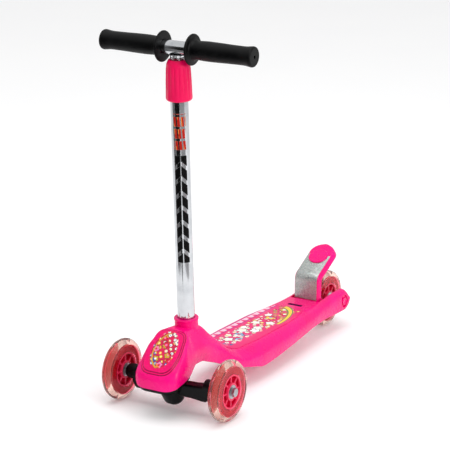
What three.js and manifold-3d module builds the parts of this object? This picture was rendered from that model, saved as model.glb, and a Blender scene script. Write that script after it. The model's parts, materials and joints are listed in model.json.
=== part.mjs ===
// A child's three-wheeled kick scooter: a moulded footboard with a hood over a leaning front truck, two front
// wheels, one rear wheel under a foot brake, and a T-bar on a telescoping stem with a twist lock.
//
// Millimetres, +Z up, the scooter faces -Y, so the rider's left is +X. Everything is drawn in the axle frame,
// where the ground is z = 0 and the front axle is at y = 0. The last lines slide it along Y, so that the origin
// is under the middle of its box.

import * as THREE from 'three';
import { mergeVertices } from 'three/addons/utils/BufferGeometryUtils.js';
import Module from 'manifold-3d';

const wasm = await Module();
wasm.setup();

// ----------------------------------------------------------------------------------------------------
// Driving dimensions

const GAP = 0.3;                       // between pieces that touch
const WHEEL_R = 50;
const WHEEL_W = 20;
const REAR_AXLE_Y = 514;               // wheelbase
const FRONT_WHEEL_X = 98.5;            // half the front track

const STEM_LEAN = THREE.MathUtils.degToRad(4);
const STEM_FOOT_Y = 46.1;              // where the stem's axis meets the ground plane
const TUBE_R = 14;                     // lower stem tube
const TUBE_WALL = 1.5;
const BAR_R = 11;                      // upper stem and crossbar
const BAR_CENTRE = 584.4;              // crossbar axis, measured along the stem's axis
const BAR_HALF = 135;                  // half the handlebar, over the grips

const WALL = 3;                        // moulding
const RIB_LOW = 56;                    // lower edge of the footboard's ribs
const RIM_Y = -64;                     // front of the hood's lower rim
const RIM_Z = 52;
const RIM_SLOPE = 0.21;                // the rim rises towards the rear
const RIM_TILT = Math.atan(RIM_SLOPE);

const FACE_Y = -53;                    // a point on the hood's sloping face
const FACE_Z = 83;
const FACE_SLOPE = 0.909;
const FACE_TILT = Math.atan(FACE_SLOPE);

const DECK_TOP = 67;
const DECK_START = 134;                // where the neck has come down to the footboard
const ARM_INNER = 28.5;                // rear fork: inner faces of its two arms
const FORK_START = 434;

const KING_TILT = THREE.MathUtils.degToRad(36.9);
const KING_FOOT = new THREE.Vector3(0, 5, 20);

const PIN_Y = 449;                     // brake hinge
const PIN_Z = 58;
const PEDAL_Y = 439.5;                 // front face of the upright part of the pedal
const PEDAL_BEND_Z = 110;
const PEDAL_SLOPE = THREE.MathUtils.degToRad(28);

// ----------------------------------------------------------------------------------------------------
// Materials

function finish(color, roughness, metalness = 0) {
  return new THREE.MeshStandardMaterial({ color, roughness, metalness });
}

const PINK = finish(0xf01880, 0.28);
const CHROME = finish(0xc8ccd0, 0.12, 1);
const STEEL = finish(0x9a9da2, 0.35, 1);
const BLACK = finish(0x111113, 0.55);
const RUBBER = finish(0x0c0c0d, 0.8);
const CLEAR = finish(0xf0b0b8, 0.2);
const HUB_RED = finish(0xb01040, 0.35);
const SILVER = finish(0xb8bcb8, 0.3, 0.6);
const LABEL = finish(0xf2e4d0, 0.35);
const GOLD = finish(0xc89848, 0.4, 0.8);
const URETHANE = finish(0xd8b040, 0.5);

// ----------------------------------------------------------------------------------------------------
// Solids

const scooter = new THREE.Group();

function toSolid(geometry) {
  const bare = geometry.clone();
  bare.deleteAttribute('normal');
  bare.deleteAttribute('uv');
  const merged = mergeVertices(bare, 1e-4);
  const vertProperties = new Float32Array(merged.attributes.position.array);
  const triVerts = new Uint32Array(merged.index.array);
  const solid = new wasm.Manifold(new wasm.Mesh({ numProp: 3, vertProperties, triVerts }));
  if (solid.volume() > 0) return solid;
  for (let i = 0; i < triVerts.length; i += 3) {
    [triVerts[i], triVerts[i + 1]] = [triVerts[i + 1], triVerts[i]];
  }
  return new wasm.Manifold(new wasm.Mesh({ numProp: 3, vertProperties, triVerts }));
}

function toGeometry(solid) {
  const mesh = solid.getMesh();
  const geometry = new THREE.BufferGeometry();
  geometry.setAttribute('position', new THREE.BufferAttribute(new Float32Array(mesh.vertProperties), 3));
  geometry.setIndex(new THREE.BufferAttribute(new Uint32Array(mesh.triVerts), 1));
  geometry.computeVertexNormals();
  return geometry;
}

function add(name, solid, material, parent = scooter) {
  const mesh = new THREE.Mesh(toGeometry(solid), material);
  mesh.name = name;
  parent.add(mesh);
  return mesh;
}

// A profile of [radius, height] pairs turned about +Z. It starts and ends on the axis, or closes on itself.
function turned(profile, segments = 24) {
  const points = profile.map(([r, h]) => new THREE.Vector2(r, h));
  return toSolid(new THREE.LatheGeometry(points, segments).rotateX(Math.PI / 2));
}

function cylinder(r, low, high, segments = 24) {
  return turned([[0, low], [r, low], [r, high], [0, high]], segments);
}

function ring(inner, outer, low, high, segments = 24) {
  return turned([[inner, low], [outer, low], [outer, high], [inner, high], [inner, low]], segments);
}

const hexagon = (acrossFlats, low, high) => cylinder(acrossFlats / Math.sqrt(3), low, high, 6);

function box(x0, x1, y0, y1, z0, z1) {
  const geometry = new THREE.BoxGeometry(x1 - x0, y1 - y0, z1 - z0);
  return toSolid(geometry.translate((x0 + x1) / 2, (y0 + y1) / 2, (z0 + z1) / 2));
}

// An outline of [x, y] pairs, raised from low to high along +Z.
function raised(outline, low, high) {
  const shape = new THREE.Shape(outline.map(([x, y]) => new THREE.Vector2(x, y)));
  const geometry = new THREE.ExtrudeGeometry(shape, { depth: high - low, bevelEnabled: false });
  return toSolid(geometry.translate(0, 0, low));
}

// An outline of [y, z] pairs, raised along X.
function raisedAlongX(outline, x0, x1) {
  const placed = new THREE.Matrix4().makeBasis(
    new THREE.Vector3(0, 1, 0), new THREE.Vector3(0, 0, 1), new THREE.Vector3(1, 0, 0));
  return transformed(raised(outline, x0, x1), placed);
}

const transformed = (solid, matrix) => solid.transform(matrix.toArray());

// Turns a solid made about +Z so that it lies along +X.
const alongX = (solid) => transformed(solid, new THREE.Matrix4().makeRotationY(Math.PI / 2));

const moved = (solid, x, y, z) => transformed(solid, new THREE.Matrix4().makeTranslation(x, y, z));

const united = (solids) => solids.reduce((sum, solid) => sum.add(solid));

// A tilted frame: its +Z leans forward, towards -Y, by the angle.
function tilted(origin, angle) {
  const frame = new THREE.Group();
  frame.position.copy(origin);
  frame.rotation.x = angle;
  frame.updateMatrix();
  return frame;
}

// Closed rings of the same length, skinned and capped. The caps follow the end rings' flat outlines.
function loft(rings, flatOutline) {
  const count = rings[0].length;
  const positions = rings.flat().flatMap((p) => [p.x, p.y, p.z]);
  const index = [];
  for (let r = 0; r < rings.length - 1; r++) {
    for (let i = 0; i < count; i++) {
      const a = r * count + i;
      const b = r * count + ((i + 1) % count);
      index.push(a, b, a + count, b, b + count, a + count);
    }
  }
  // The triangulation always winds the same way, whatever the outline does, so each cap is turned to suit.
  for (const [ring, outward] of [[0, true], [rings.length - 1, false]]) {
    const outline = flatOutline(ring);
    const asIs = THREE.ShapeUtils.isClockWise(outline) === outward;
    const first = ring * count;
    for (const [a, b, c] of THREE.ShapeUtils.triangulateShape(outline, [])) {
      index.push(first + a, first + (asIs ? b : c), first + (asIs ? c : b));
    }
  }
  const geometry = new THREE.BufferGeometry();
  geometry.setAttribute('position', new THREE.Float32BufferAttribute(positions, 3));
  geometry.setIndex(index);
  return toSolid(geometry);
}

// Replaces a corner by a short curve that starts and ends at the given distance from it.
function roundedCorner(before, corner, after, reach, steps = 2) {
  const start = corner.clone().lerp(before, Math.min(0.49, reach / corner.distanceTo(before)));
  const end = corner.clone().lerp(after, Math.min(0.49, reach / corner.distanceTo(after)));
  return new THREE.QuadraticBezierCurve(start, corner, end).getPoints(steps);
}

function roundedOutline(corners, reach, steps = 4) {
  const points = corners.map(([x, y]) => new THREE.Vector2(x, y));
  const at = (i) => points[(i + points.length) % points.length];
  const rounded = points.flatMap((p, i) => roundedCorner(at(i - 1), p, at(i + 1), reach, steps));
  return rounded.map((p) => [p.x, p.y]);
}

// ----------------------------------------------------------------------------------------------------
// The moulding: hood, neck, footboard and rear fork in one piece

const rimHeight = (y) => RIM_Z + RIM_SLOPE * (y - RIM_Y);
const faceHeight = (y) => FACE_Z + FACE_SLOPE * (y - FACE_Y);

// Half cross-sections from nose to tail. flat is the half-width of the top, wide and waist place the widest
// line, foot and edge place the lower edge.
const SECTIONS = [
  { y: -64, top: 71, flat: 14, wide: 22, waist: 62, foot: 20, edge: rimHeight(-64) },
  { y: -62, top: 75, flat: 22, wide: 30, waist: 64, foot: 27, edge: rimHeight(-62) },
  { y: -57, top: faceHeight(-57), flat: 30, wide: 37, waist: 67, foot: 33, edge: rimHeight(-57) },
  { y: -48, top: faceHeight(-48), flat: 34, wide: 40.5, waist: 73, foot: 37, edge: rimHeight(-48) },
  { y: -23, top: faceHeight(-23), flat: 34.5, wide: 40.5, waist: 85, foot: 37.5, edge: rimHeight(-23) },
  { y: -10, top: faceHeight(-10), flat: 30, wide: 39.5, waist: 90, foot: 37, edge: 64.5 },
  { y: 0, top: 130, flat: 25, wide: 38.5, waist: 94, foot: 36, edge: 72 },
  { y: 12, top: 132.5, flat: 19, wide: 37, waist: 98, foot: 34.5, edge: 78 },
  { y: 30, top: 132, flat: 17, wide: 36, waist: 98, foot: 34, edge: 77.5 },
  { y: 50, top: 130, flat: 17, wide: 36, waist: 95, foot: 34, edge: 71 },
  { y: 74, top: 112, flat: 19, wide: 38, waist: 87, foot: 36, edge: 62 },
  { y: 97, top: 92.5, flat: 24, wide: 44, waist: 75, foot: 42, edge: 52.5 },
  { y: 117, top: 74, flat: 33, wide: 50.5, waist: 61, foot: 49.5, edge: 44 },
  { y: DECK_START, top: DECK_TOP, flat: 38, wide: 53.5, waist: 54, foot: 52, edge: 40 },
  { y: 170, top: DECK_TOP, flat: 43, wide: 56.5, waist: 48, foot: 55, edge: 31 },
  { y: 198, top: DECK_TOP, flat: 44.5, wide: 57.5, waist: 46, foot: 56, edge: 25 },
  { y: 225, top: DECK_TOP, flat: 44.5, wide: 57, waist: 46, foot: 55.5, edge: 26 },
  { y: 300, top: DECK_TOP, flat: 42.5, wide: 54, waist: 47, foot: 52.5, edge: 31 },
  { y: 350, top: DECK_TOP, flat: 39.5, wide: 50, waist: 48, foot: 48.5, edge: 34 },
  { y: 400, top: DECK_TOP, flat: 36, wide: 45.5, waist: 50, foot: 44, edge: 36 },
  { y: 440, top: 68, flat: 34.5, wide: 42, waist: 52, foot: 41, edge: 36 },
  { y: 485, top: 71.5, flat: 34, wide: 40.5, waist: 54, foot: 40, edge: 34 },
  { y: 514, top: 72, flat: 34, wide: 40.5, waist: 53, foot: 40, edge: 33.5 },
  { y: 525, top: 69, flat: 34, wide: 40.5, waist: 53, foot: 40, edge: 37 },
  { y: 531, top: 63.5, flat: 34, wide: 40.5, waist: 53, foot: 40, edge: 42 },
  { y: 534, top: 57, flat: 34, wide: 40, waist: 53, foot: 40, edge: 49 },
];

// The outline of one section as [x, z] points, right half first.
function sectionOutline({ top, flat, wide, waist, foot, edge }, steps = 2) {
  const shoulder = new THREE.Vector2(flat, top);
  const side = new THREE.Vector2(wide, waist);
  const hem = new THREE.Vector2(foot, edge);
  const crown = new THREE.Vector2(0, top);
  const sole = new THREE.Vector2(0, edge);
  const half = [
    crown,
    ...roundedCorner(crown, shoulder, side, 6, steps),
    ...roundedCorner(shoulder, side, hem, 9, steps),
    ...roundedCorner(side, hem, sole, 2, 1),
    sole,
  ];
  const mirrored = half.slice(1, -1).reverse().map((p) => new THREE.Vector2(-p.x, p.y));
  return [...half, ...mirrored];
}

function sectionLoft(sections, steps) {
  const outlines = sections.map((section) => sectionOutline(section, steps));
  const rings = sections.map(({ y }, i) => outlines[i].map((p) => new THREE.Vector3(p.x, y, p.y)));
  return loft(rings, (i) => outlines[i]);
}

// The cross-section between two stations.
function sectionAt(y) {
  const next = SECTIONS.findIndex((section) => section.y >= y);
  const [a, b] = [SECTIONS[next - 1], SECTIONS[next]];
  const share = (y - a.y) / (b.y - a.y);
  return Object.fromEntries(Object.keys(a).map((key) => [key, a[key] + share * (b[key] - a[key])]));
}

// A section drawn in from the outside by a depth, with its lower edge moved by a drop. The hood's sloping
// face needs a deeper step at the top for the same wall.
function drawnIn({ y, top, flat, wide, waist, foot, edge }, depth, drop) {
  const slant = y < DECK_START ? 1.5 : 1;
  return {
    y,
    waist,
    top: top - depth * slant,
    flat: flat - depth * 0.7,
    wide: wide - depth,
    foot: foot - depth,
    edge: edge - drop,
  };
}

function makeHollow() {
  const stations = [-59, -48, -23, -5, 12, 45, 74, 97, 117, 136, 170, 215, 300, 360, 424];
  return sectionLoft(stations.map((y) => drawnIn(sectionAt(y), WALL, 12)), 1);
}

// The part of a section that lies above a height.
function above({ y, top, flat, wide, waist }, low) {
  const reach = wide + ((low - waist) / (top - waist)) * (flat - wide);
  return { y, top, flat, wide: reach, waist: low + 1, foot: reach - 1, edge: low };
}

// Ribs under the footboard, ending inside the walls.
function makeRibs() {
  const ribs = [-22, 22].map((x) => box(x - 1.2, x + 1.2, 137, FORK_START - 5, RIB_LOW, DECK_TOP - 1.5));
  for (let y = 160; y <= 380; y += 55) {
    const outline = above(drawnIn(sectionAt(y), WALL / 2, 0), RIB_LOW);
    ribs.push(sectionLoft([{ ...outline, y: y - 1.2 }, { ...outline, y: y + 1.2 }], 1));
  }
  return united(ribs);
}

const SOCKET_R = 18.5;                 // neck socket that holds the stem
const SOCKET_LOW = 80;
const SOCKET_TOP = 145.5;
const CROSS_PIN_AT = 97;               // pin through the socket, along the stem's axis
const STEM_ORIGIN = new THREE.Vector3(0, STEM_FOOT_Y, 0);
const stem = tilted(STEM_ORIGIN, STEM_LEAN);
const rim = tilted(new THREE.Vector3(0, RIM_Y, RIM_Z), RIM_TILT);
const king = tilted(KING_FOOT, KING_TILT);

const BASE_SCREWS = [[-30, 18], [-30.5, 38], [30, 18], [30.5, 38]];   // [x, distance back along the rim]
const SLOT_Y = [396, 405];

function makeShell() {
  const bosses = BASE_SCREWS.map(([x, back]) => moved(cylinder(6.5, 0.5, 20, 10), x, back, 0));
  const underHood = transformed(united(bosses), rim.matrix);
  const collar = turned([
    [0, SOCKET_LOW], [SOCKET_R, SOCKET_LOW], [SOCKET_R, SOCKET_TOP - 4], [19.2, SOCKET_TOP - 3],
    [19.2, SOCKET_TOP - 0.5], [18.4, SOCKET_TOP], [0, SOCKET_TOP],
  ]);
  const bore = cylinder(TUBE_R + GAP, SOCKET_LOW + 6, SOCKET_TOP + 5);
  const pinHole = moved(alongX(cylinder(3.3, -25, 25, 10)), 0, 0, CROSS_PIN_AT);
  const fork = box(-ARM_INNER, ARM_INNER, FORK_START, REAR_AXLE_Y + WHEEL_R, 0, 100);
  const axleHole = moved(alongX(cylinder(4.3, -60, 60, 16)), 0, REAR_AXLE_Y, WHEEL_R);
  const hingeHole = moved(alongX(cylinder(2.9, -37, 37, 10)), 0, PIN_Y, PIN_Z);
  const nutPockets = [[36.5, 60], [-60, -36.5]].map(([low, high]) => (
    moved(alongX(cylinder(11.5, low, high, 20)), 0, REAR_AXLE_Y, WHEEL_R)));
  const slot = box(-14, 14, SLOT_Y[0], SLOT_Y[1], DECK_TOP - 7, DECK_TOP + 13);
  const screwHoles = BASE_SCREWS.map(([x, back]) => moved(cylinder(2.3, -5, 14, 8), x, back, 0));
  const cuts = [fork, axleHole, hingeHole, slot, ...nutPockets, transformed(united(screwHoles), rim.matrix)];
  const skin = sectionLoft(SECTIONS).subtract(makeHollow());
  return united([skin, makeRibs(), underHood, transformed(collar, stem.matrix)])
    .subtract(transformed(united([bore, pinHole]), stem.matrix))
    .subtract(united(cuts));
}

// The raised cover on the hood's face and the oval label on it, drawn on the face's own plane.
const face = tilted(new THREE.Vector3(0, FACE_Y, FACE_Z), FACE_TILT);
const COVER_OUTLINE = roundedOutline([[-27, -6], [27, -6], [32, 28], [24, 73], [-24, 73], [-32, 28]], 14);

function ovalOutline(halfWidth, low, high, widestAt, steps = 28) {
  const points = [];
  for (let i = 0; i < steps; i++) {
    const turn = (i / steps) * 2 * Math.PI;
    const reach = Math.sin(turn) > 0 ? high - widestAt : widestAt - low;
    points.push([halfWidth * Math.cos(turn), widestAt + reach * Math.sin(turn)]);
  }
  return points;
}

const LABEL_T = 0.5;
const COVER_T = 2.4;

function makeDeckLabel() {
  const corners = [
    [-37, 172], [-31, 154], [-8, 142], [16, 136], [34, 138], [39, 200], [38.5, 300],
    [35, 350], [24, 388], [-24, 388], [-35, 350], [-40, 300], [-41, 200],
  ];
  return raised(roundedOutline(corners, 7, 2), DECK_TOP + GAP, DECK_TOP + GAP + LABEL_T);
}

add('deck_shell', makeShell(), PINK);
add('face_cover', raised(COVER_OUTLINE, GAP, GAP + COVER_T), PINK, face);
const faceLabelLow = GAP * 2 + COVER_T;
add('face_label', raised(ovalOutline(22.5, -2, 70, 33), faceLabelLow, faceLabelLow + LABEL_T), LABEL, face);
add('deck_label', makeDeckLabel(), LABEL);
scooter.add(face);

// ----------------------------------------------------------------------------------------------------
// Under the hood: base plate, kingpin, bushings and the leaning truck

const PLATE_T = 4;
const PLATE_BACK = 66;                 // the plate's length along the rim
const KING_R = 4.7;
const BUSH_R = 12;

function makeBasePlate() {
  const outline = roundedOutline([[-22, -0.5], [22, -0.5], [36.5, 16], [33, PLATE_BACK], [-33, PLATE_BACK],
    [-36.5, 16]], 11);
  const plate = raised(outline, -GAP - PLATE_T, -GAP);
  const backWall = box(-24, 24, PLATE_BACK - 5, PLATE_BACK, -GAP - PLATE_T, 7);
  const holes = BASE_SCREWS.map(([x, back]) => moved(cylinder(2.4, -10, 2, 8), x, back, 0));
  const headHole = cylinder(4.6, -10, -GAP - PLATE_T + 2.2, 10);
  const heads = BASE_SCREWS.map(([x, back]) => moved(headHole, x, back, 0));
  const flatParts = plate.add(backWall).subtract(united([...holes, ...heads]));
  const boss = transformed(cylinder(15, 35.3, 50, 20), king.matrix);
  const bossTop = transformed(box(-30, 30, -60, 60, -GAP, 60), rim.matrix);
  const bore = transformed(cylinder(KING_R + GAP, 20, 70, 14), king.matrix);
  const headSeat = transformed(cylinder(10, 50, 80, 14), king.matrix);
  return transformed(flatParts, rim.matrix).add(boss.subtract(bossTop)).subtract(bore.add(headSeat));
}

// A [radius, distance out] profile turned about the front axle, on one side.
function onFrontAxle(profile, side, segments) {
  return moved(alongX(turned(profile.map(([r, h]) => [r, side * h]), segments)), 0, 0, WHEEL_R);
}

function makeTruck() {
  const sleeve = turned([[0, 2], [16, 2], [18.5, 5], [18.5, 29], [16, 31], [0, 31]], 20);
  const bushSeats = [cylinder(BUSH_R + 0.8, 24, 40), cylinder(BUSH_R + 0.8, 0, 12)];
  const seats = united([...bushSeats, cylinder(6.2, 10, 26, 14)]);
  const half = [
    [0, 29], [40, 28.5], [58, 26.5], [64, 26.5], [68, 31], [72, 40], [72, 56], [56, 52.5], [40, 50.5],
    [0, 49],
  ];
  const beam = [...half, ...half.slice(1, -1).reverse().map(([x, z]) => [-x, z])];
  const crossways = new THREE.Matrix4().makeBasis(
    new THREE.Vector3(1, 0, 0), new THREE.Vector3(0, 0, 1), new THREE.Vector3(0, -1, 0));
  const beamSolid = transformed(raised(beam, -12, 12), crossways);
  const end = [[0, 60], [12, 60], [12, 82], [9.5, 86], [0, 86]];
  const endBore = [[0, 62], [4.2, 62], [4.2, 90], [0, 90]];
  const ends = [-1, 1].map((side) => onFrontAxle(end, side, 18));
  const bores = [-1, 1].map((side) => onFrontAxle(endBore, side, 14));
  return united([transformed(sleeve, king.matrix), beamSolid, ...ends])
    .subtract(transformed(seats, king.matrix))
    .subtract(united(bores));
}

const bushing = (low, high) => turned([
  [KING_R + GAP, low], [BUSH_R - 1, low], [BUSH_R, (low + high) / 2], [BUSH_R - 1, high],
  [KING_R + GAP, high], [KING_R + GAP, low],
], 18);

add('base_plate', makeBasePlate(), BLACK);
add('truck_body', makeTruck(), BLACK);
BASE_SCREWS.forEach(([x, back], i) => {
  const head = -GAP - PLATE_T;
  const under = head + 1.8;
  const screw = turned([[0, head], [4.2, head], [4.2, under], [1.9, under], [1.9, 12], [0, 13.5]], 10);
  add(`base_screw_${i + 1}`, moved(screw, x, back, 0), STEEL, rim);
});
add('kingpin_bolt', cylinder(KING_R, -4.4, 51, 12).add(hexagon(15, 50.5, 57)), STEEL, king);
add('kingpin_nut', hexagon(15, -3.4, 3).subtract(cylinder(KING_R + GAP, -10, 10, 12)), STEEL, king);
add('kingpin_washer', ring(KING_R + GAP, 11, 3.3, 5, 16), STEEL, king);
add('bushing_lower', bushing(5.3, 11.7), URETHANE, king);
add('bushing_upper', bushing(24.3, 35), URETHANE, king);
add('kingpin_cap', turned([
  [0, -7.2], [8, -7], [14, -3.4], [15.8, 1.7], [13.2, 1.7], [12.6, -2], [8, -5.2], [0, -5.6],
], 16), BLACK, king);
scooter.add(rim, king);

// ----------------------------------------------------------------------------------------------------
// Wheels

const SEAT_R = 28;                     // outer radius of the hub's barrel, where the clear tyre starts
const FLANGE_R = 36;                   // web of the hub inside the tyre
const BEARING_R = 11;
const BEARING_W = 7;
const AXLE_R = 3.8;
const BORE_R = AXLE_R + GAP;
const HALF = WHEEL_W / 2;

function makeTyre() {
  const profile = [[SEAT_R + GAP, 8.6], [32, HALF]];
  for (let i = 0; i <= 6; i++) {
    const turn = Math.PI / 2 - (i * Math.PI) / 6;
    profile.push([38 + (WHEEL_R - 38) * Math.cos(turn), HALF * Math.sin(turn)]);
  }
  profile.push(
    [32, -HALF], [SEAT_R + GAP, -8.6], [SEAT_R + GAP, -4.5], [41, -4.5], [41, 4.5], [SEAT_R + GAP, 4.5],
    [SEAT_R + GAP, 8.6]);
  return alongX(turned(profile, 28));
}

function makeHub() {
  const rimRing = turned([
    [SEAT_R - 3, -8.4], [SEAT_R, -8.4], [SEAT_R, -4.2], [FLANGE_R, -4.2], [FLANGE_R, 4.2],
    [SEAT_R, 4.2], [SEAT_R, 8.4], [SEAT_R - 3, 8.4], [SEAT_R - 3, -8.4],
  ]);
  const barrel = ring(8, 14.5, -HALF + 0.4, HALF - 0.4, 16);
  const web = ring(14, SEAT_R - 2, -1.5, 1.5);
  const spokes = [];
  for (let i = 0; i < 8; i++) {
    const turn = new THREE.Matrix4().makeRotationZ(((i + 0.5) * Math.PI) / 4);
    spokes.push(transformed(box(14, SEAT_R - 2.5, -1.1, 1.1, -6.5, 6.5), turn));
  }
  const seats = [[-20, -2.2], [2.2, 20]].map(([low, high]) => cylinder(BEARING_R + GAP, low, high, 16));
  return alongX(united([rimRing, barrel, web, ...spokes]).subtract(united(seats)));
}

const bearing = (low) => turned([
  [BORE_R, low], [BEARING_R, low], [BEARING_R, low + BEARING_W], [BORE_R, low + BEARING_W], [BORE_R, low],
], 16);

// One light of the wheel: an arc-shaped block between the hub's web and the tyre.
function makeLight() {
  const outline = [];
  const arc = THREE.MathUtils.degToRad(34);
  const steps = 6;
  for (let i = 0; i <= steps; i++) outline.push([40.6, -arc / 2 + (arc * i) / steps]);
  for (let i = steps; i >= 0; i--) outline.push([FLANGE_R + GAP + 0.2, -arc / 2 + (arc * i) / steps]);
  return alongX(raised(outline.map(([r, a]) => [r * Math.cos(a), r * Math.sin(a)]), -4, 4));
}

function addWheel(name, x, y, lightTurn) {
  const frame = new THREE.Group();
  frame.position.set(x, y, WHEEL_R);
  add(`${name}_tyre`, makeTyre(), CLEAR, frame);
  add(`${name}_hub`, makeHub(), HUB_RED, frame);
  add(`${name}_bearing_a`, alongX(bearing(2.5)), STEEL, frame);
  add(`${name}_bearing_b`, alongX(bearing(-2.5 - BEARING_W)), STEEL, frame);
  add(`${name}_spacer`, alongX(ring(BORE_R, 6, -2.2, 2.2, 14)), STEEL, frame);
  const light = add(`${name}_light`, makeLight(), GOLD, frame);
  light.rotation.x = lightTurn;
  scooter.add(frame);
}

addWheel('wheel_left', FRONT_WHEEL_X, 0, THREE.MathUtils.degToRad(-45));
addWheel('wheel_right', -FRONT_WHEEL_X, 0, THREE.MathUtils.degToRad(168));
addWheel('wheel_rear', 0, REAR_AXLE_Y, THREE.MathUtils.degToRad(180));

function addFrontAxle(name, side) {
  const head = FRONT_WHEEL_X + HALF + 0.2;
  const shank = [[0, 65], [AXLE_R, 65], [AXLE_R, head + 1], [0, head + 1]];
  const hex = [[0, head], [7.5, head], [7.5, head + 4.4], [6.2, head + 5.4], [0, head + 5.4]];
  const washer = [[BORE_R, 86.3], [7, 86.3], [7, 88.5], [BORE_R, 88.5], [BORE_R, 86.3]];
  add(`axle_bolt_${name}`, onFrontAxle(shank, side, 14).add(onFrontAxle(hex, side, 6)), STEEL);
  add(`axle_washer_${name}`, onFrontAxle(washer, side, 14), STEEL);
}
addFrontAxle('left', 1);
addFrontAxle('right', -1);

function addRearAxle() {
  const place = (solid) => moved(alongX(solid), 0, REAR_AXLE_Y, WHEEL_R);
  const headAt = 36.8;
  const shank = cylinder(AXLE_R, -headAt - 5.5, headAt + 1, 14);
  add('rear_axle_bolt', place(shank.add(hexagon(13, headAt, headAt + 3.4))), STEEL);
  const nut = hexagon(13, -headAt - 3.4, -headAt).subtract(cylinder(BORE_R, -60, 0, 14));
  add('rear_axle_nut', place(nut), STEEL);
  const [from, to] = [HALF - 0.1, ARM_INNER - GAP];
  add('rear_spacer_left', place(ring(BORE_R, 6.5, from, to, 14)), STEEL);
  add('rear_spacer_right', place(ring(BORE_R, 6.5, -to, -from, 14)), STEEL);
}
addRearAxle();

// ----------------------------------------------------------------------------------------------------
// Foot brake

const PEDAL_T = 3.2;
const PEDAL_HALF = 23;
const PEDAL_LOW = 50;
const PEDAL_REACH = 85;                // along the slope, from the bend's corner to the end
const BEND_R = 16;
const BADGE_AT = 51;                   // the badge's centre, along the slope
const SHOE_R = 61;                     // the shoe's curve about the wheel's axle

// A point along the sloping part, at a depth under its surface.
const onSlope = (reach, depth = 0) => ({
  y: PEDAL_Y + reach * Math.cos(PEDAL_SLOPE) + depth * Math.sin(PEDAL_SLOPE),
  z: PEDAL_BEND_Z + reach * Math.sin(PEDAL_SLOPE) - depth * Math.cos(PEDAL_SLOPE),
});

// The pedal's front surface as a path in the YZ plane: upright, a bend, then the slope over the wheel.
function pedalPath() {
  const turn = Math.PI / 2 - PEDAL_SLOPE;
  const tangent = BEND_R * Math.tan(turn / 2);
  const heights = [PEDAL_LOW, 68, PEDAL_BEND_Z - tangent];
  const stations = heights.map((z) => ({ y: PEDAL_Y, z, angle: Math.PI / 2 }));
  const bendSteps = 4;
  for (let i = 1; i <= bendSteps; i++) {
    const swept = (turn * i) / bendSteps;
    stations.push({
      y: PEDAL_Y + BEND_R * (1 - Math.cos(swept)),
      z: PEDAL_BEND_Z - tangent + BEND_R * Math.sin(swept),
      angle: Math.PI / 2 - swept,
    });
  }
  for (const reach of [30, 48, 63, 69, 74, 78.5, 82.5, PEDAL_REACH]) {
    stations.push({ ...onSlope(reach), angle: PEDAL_SLOPE, reach });
  }
  return stations;
}

// How far from the pedal's middle its edge is: full width, then a rounded end.
function pedalHalf(reach = 0) {
  const roundedLength = 22;
  const share = (reach - PEDAL_REACH + roundedLength) / roundedLength;
  return share <= 0 ? PEDAL_HALF : PEDAL_HALF * Math.sqrt(Math.max(0.04, 1 - share ** 2));
}

// Skins a flat outline, [across, inward] points for each station, along the pedal's path.
function alongPedal(stations, outlineAt) {
  const outlines = stations.map(outlineAt).map((points) => points.map(([x, n]) => new THREE.Vector2(x, n)));
  const rings = stations.map(({ y, z, angle }, i) => outlines[i].map((p) => (
    new THREE.Vector3(p.x, y + p.y * Math.sin(angle), z - p.y * Math.cos(angle)))));
  return loft(rings, (i) => outlines[i]);
}

function makePedal() {
  const channel = alongPedal(pedalPath(), ({ reach, z }) => {
    const half = pedalHalf(reach);
    const inner = half - PEDAL_T;
    const depth = z < 69 ? 16 : 10;
    const flare = 3;
    return [
      [-half, 0], [half, 0], [half + flare, depth], [inner + flare, depth], [inner, PEDAL_T],
      [-inner, PEDAL_T], [-inner - flare, depth], [-half - flare, depth],
    ];
  });
  const endCut = pedalPath().at(-1);
  const tip = box(-30, 30, endCut.y - 0.2, endCut.y + 20, endCut.z - 30, endCut.z + 20);
  const hole = moved(alongX(cylinder(2.9, -40, 40, 12)), 0, PIN_Y, PIN_Z);
  return channel.subtract(hole).subtract(tip);
}

function makeShoe() {
  const arcPoint = (r, degrees) => {
    const a = THREE.MathUtils.degToRad(degrees);
    return [REAR_AXLE_Y - r * Math.sin(a), WHEEL_R + r * Math.cos(a)];
  };
  const angles = [12, 20, 28, 36, 44, 52];
  const shoe = raisedAlongX([...angles.map((a) => arcPoint(SHOE_R, a)),
    ...[...angles].reverse().map((a) => arcPoint(SHOE_R + 5, a))], -13, 13);
  const underside = (reach) => {
    const { y, z } = onSlope(reach, PEDAL_T + GAP);
    return [y, z];
  };
  const web = [arcPoint(SHOE_R + 3, 14), underside(70), underside(18), arcPoint(SHOE_R + 3, 51),
    arcPoint(SHOE_R + 3, 40), arcPoint(SHOE_R + 3, 27)];
  return united([shoe, ...[-11.5, 0, 11.5].map((x) => raisedAlongX(web, x - 1.4, x + 1.4))]);
}

function makePedalLabel() {
  const upright = pedalPath().filter(({ z, reach = 0 }) => z > 60 && reach < 72);
  const half = (reach = 0) => Math.min(PEDAL_HALF - 2, pedalHalf(reach) - 1.5);
  return alongPedal(upright, ({ reach }) => [
    [-half(reach), -GAP - LABEL_T], [half(reach), -GAP - LABEL_T], [half(reach), -GAP], [-half(reach), -GAP],
  ]);
}

function makeBadge() {
  const low = GAP * 2 + LABEL_T;
  return turned([[0, low], [17.5, low], [17.5, low + 1.4], [15.5, low + 2.6], [0, low + 2.6]], 20);
}

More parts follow.
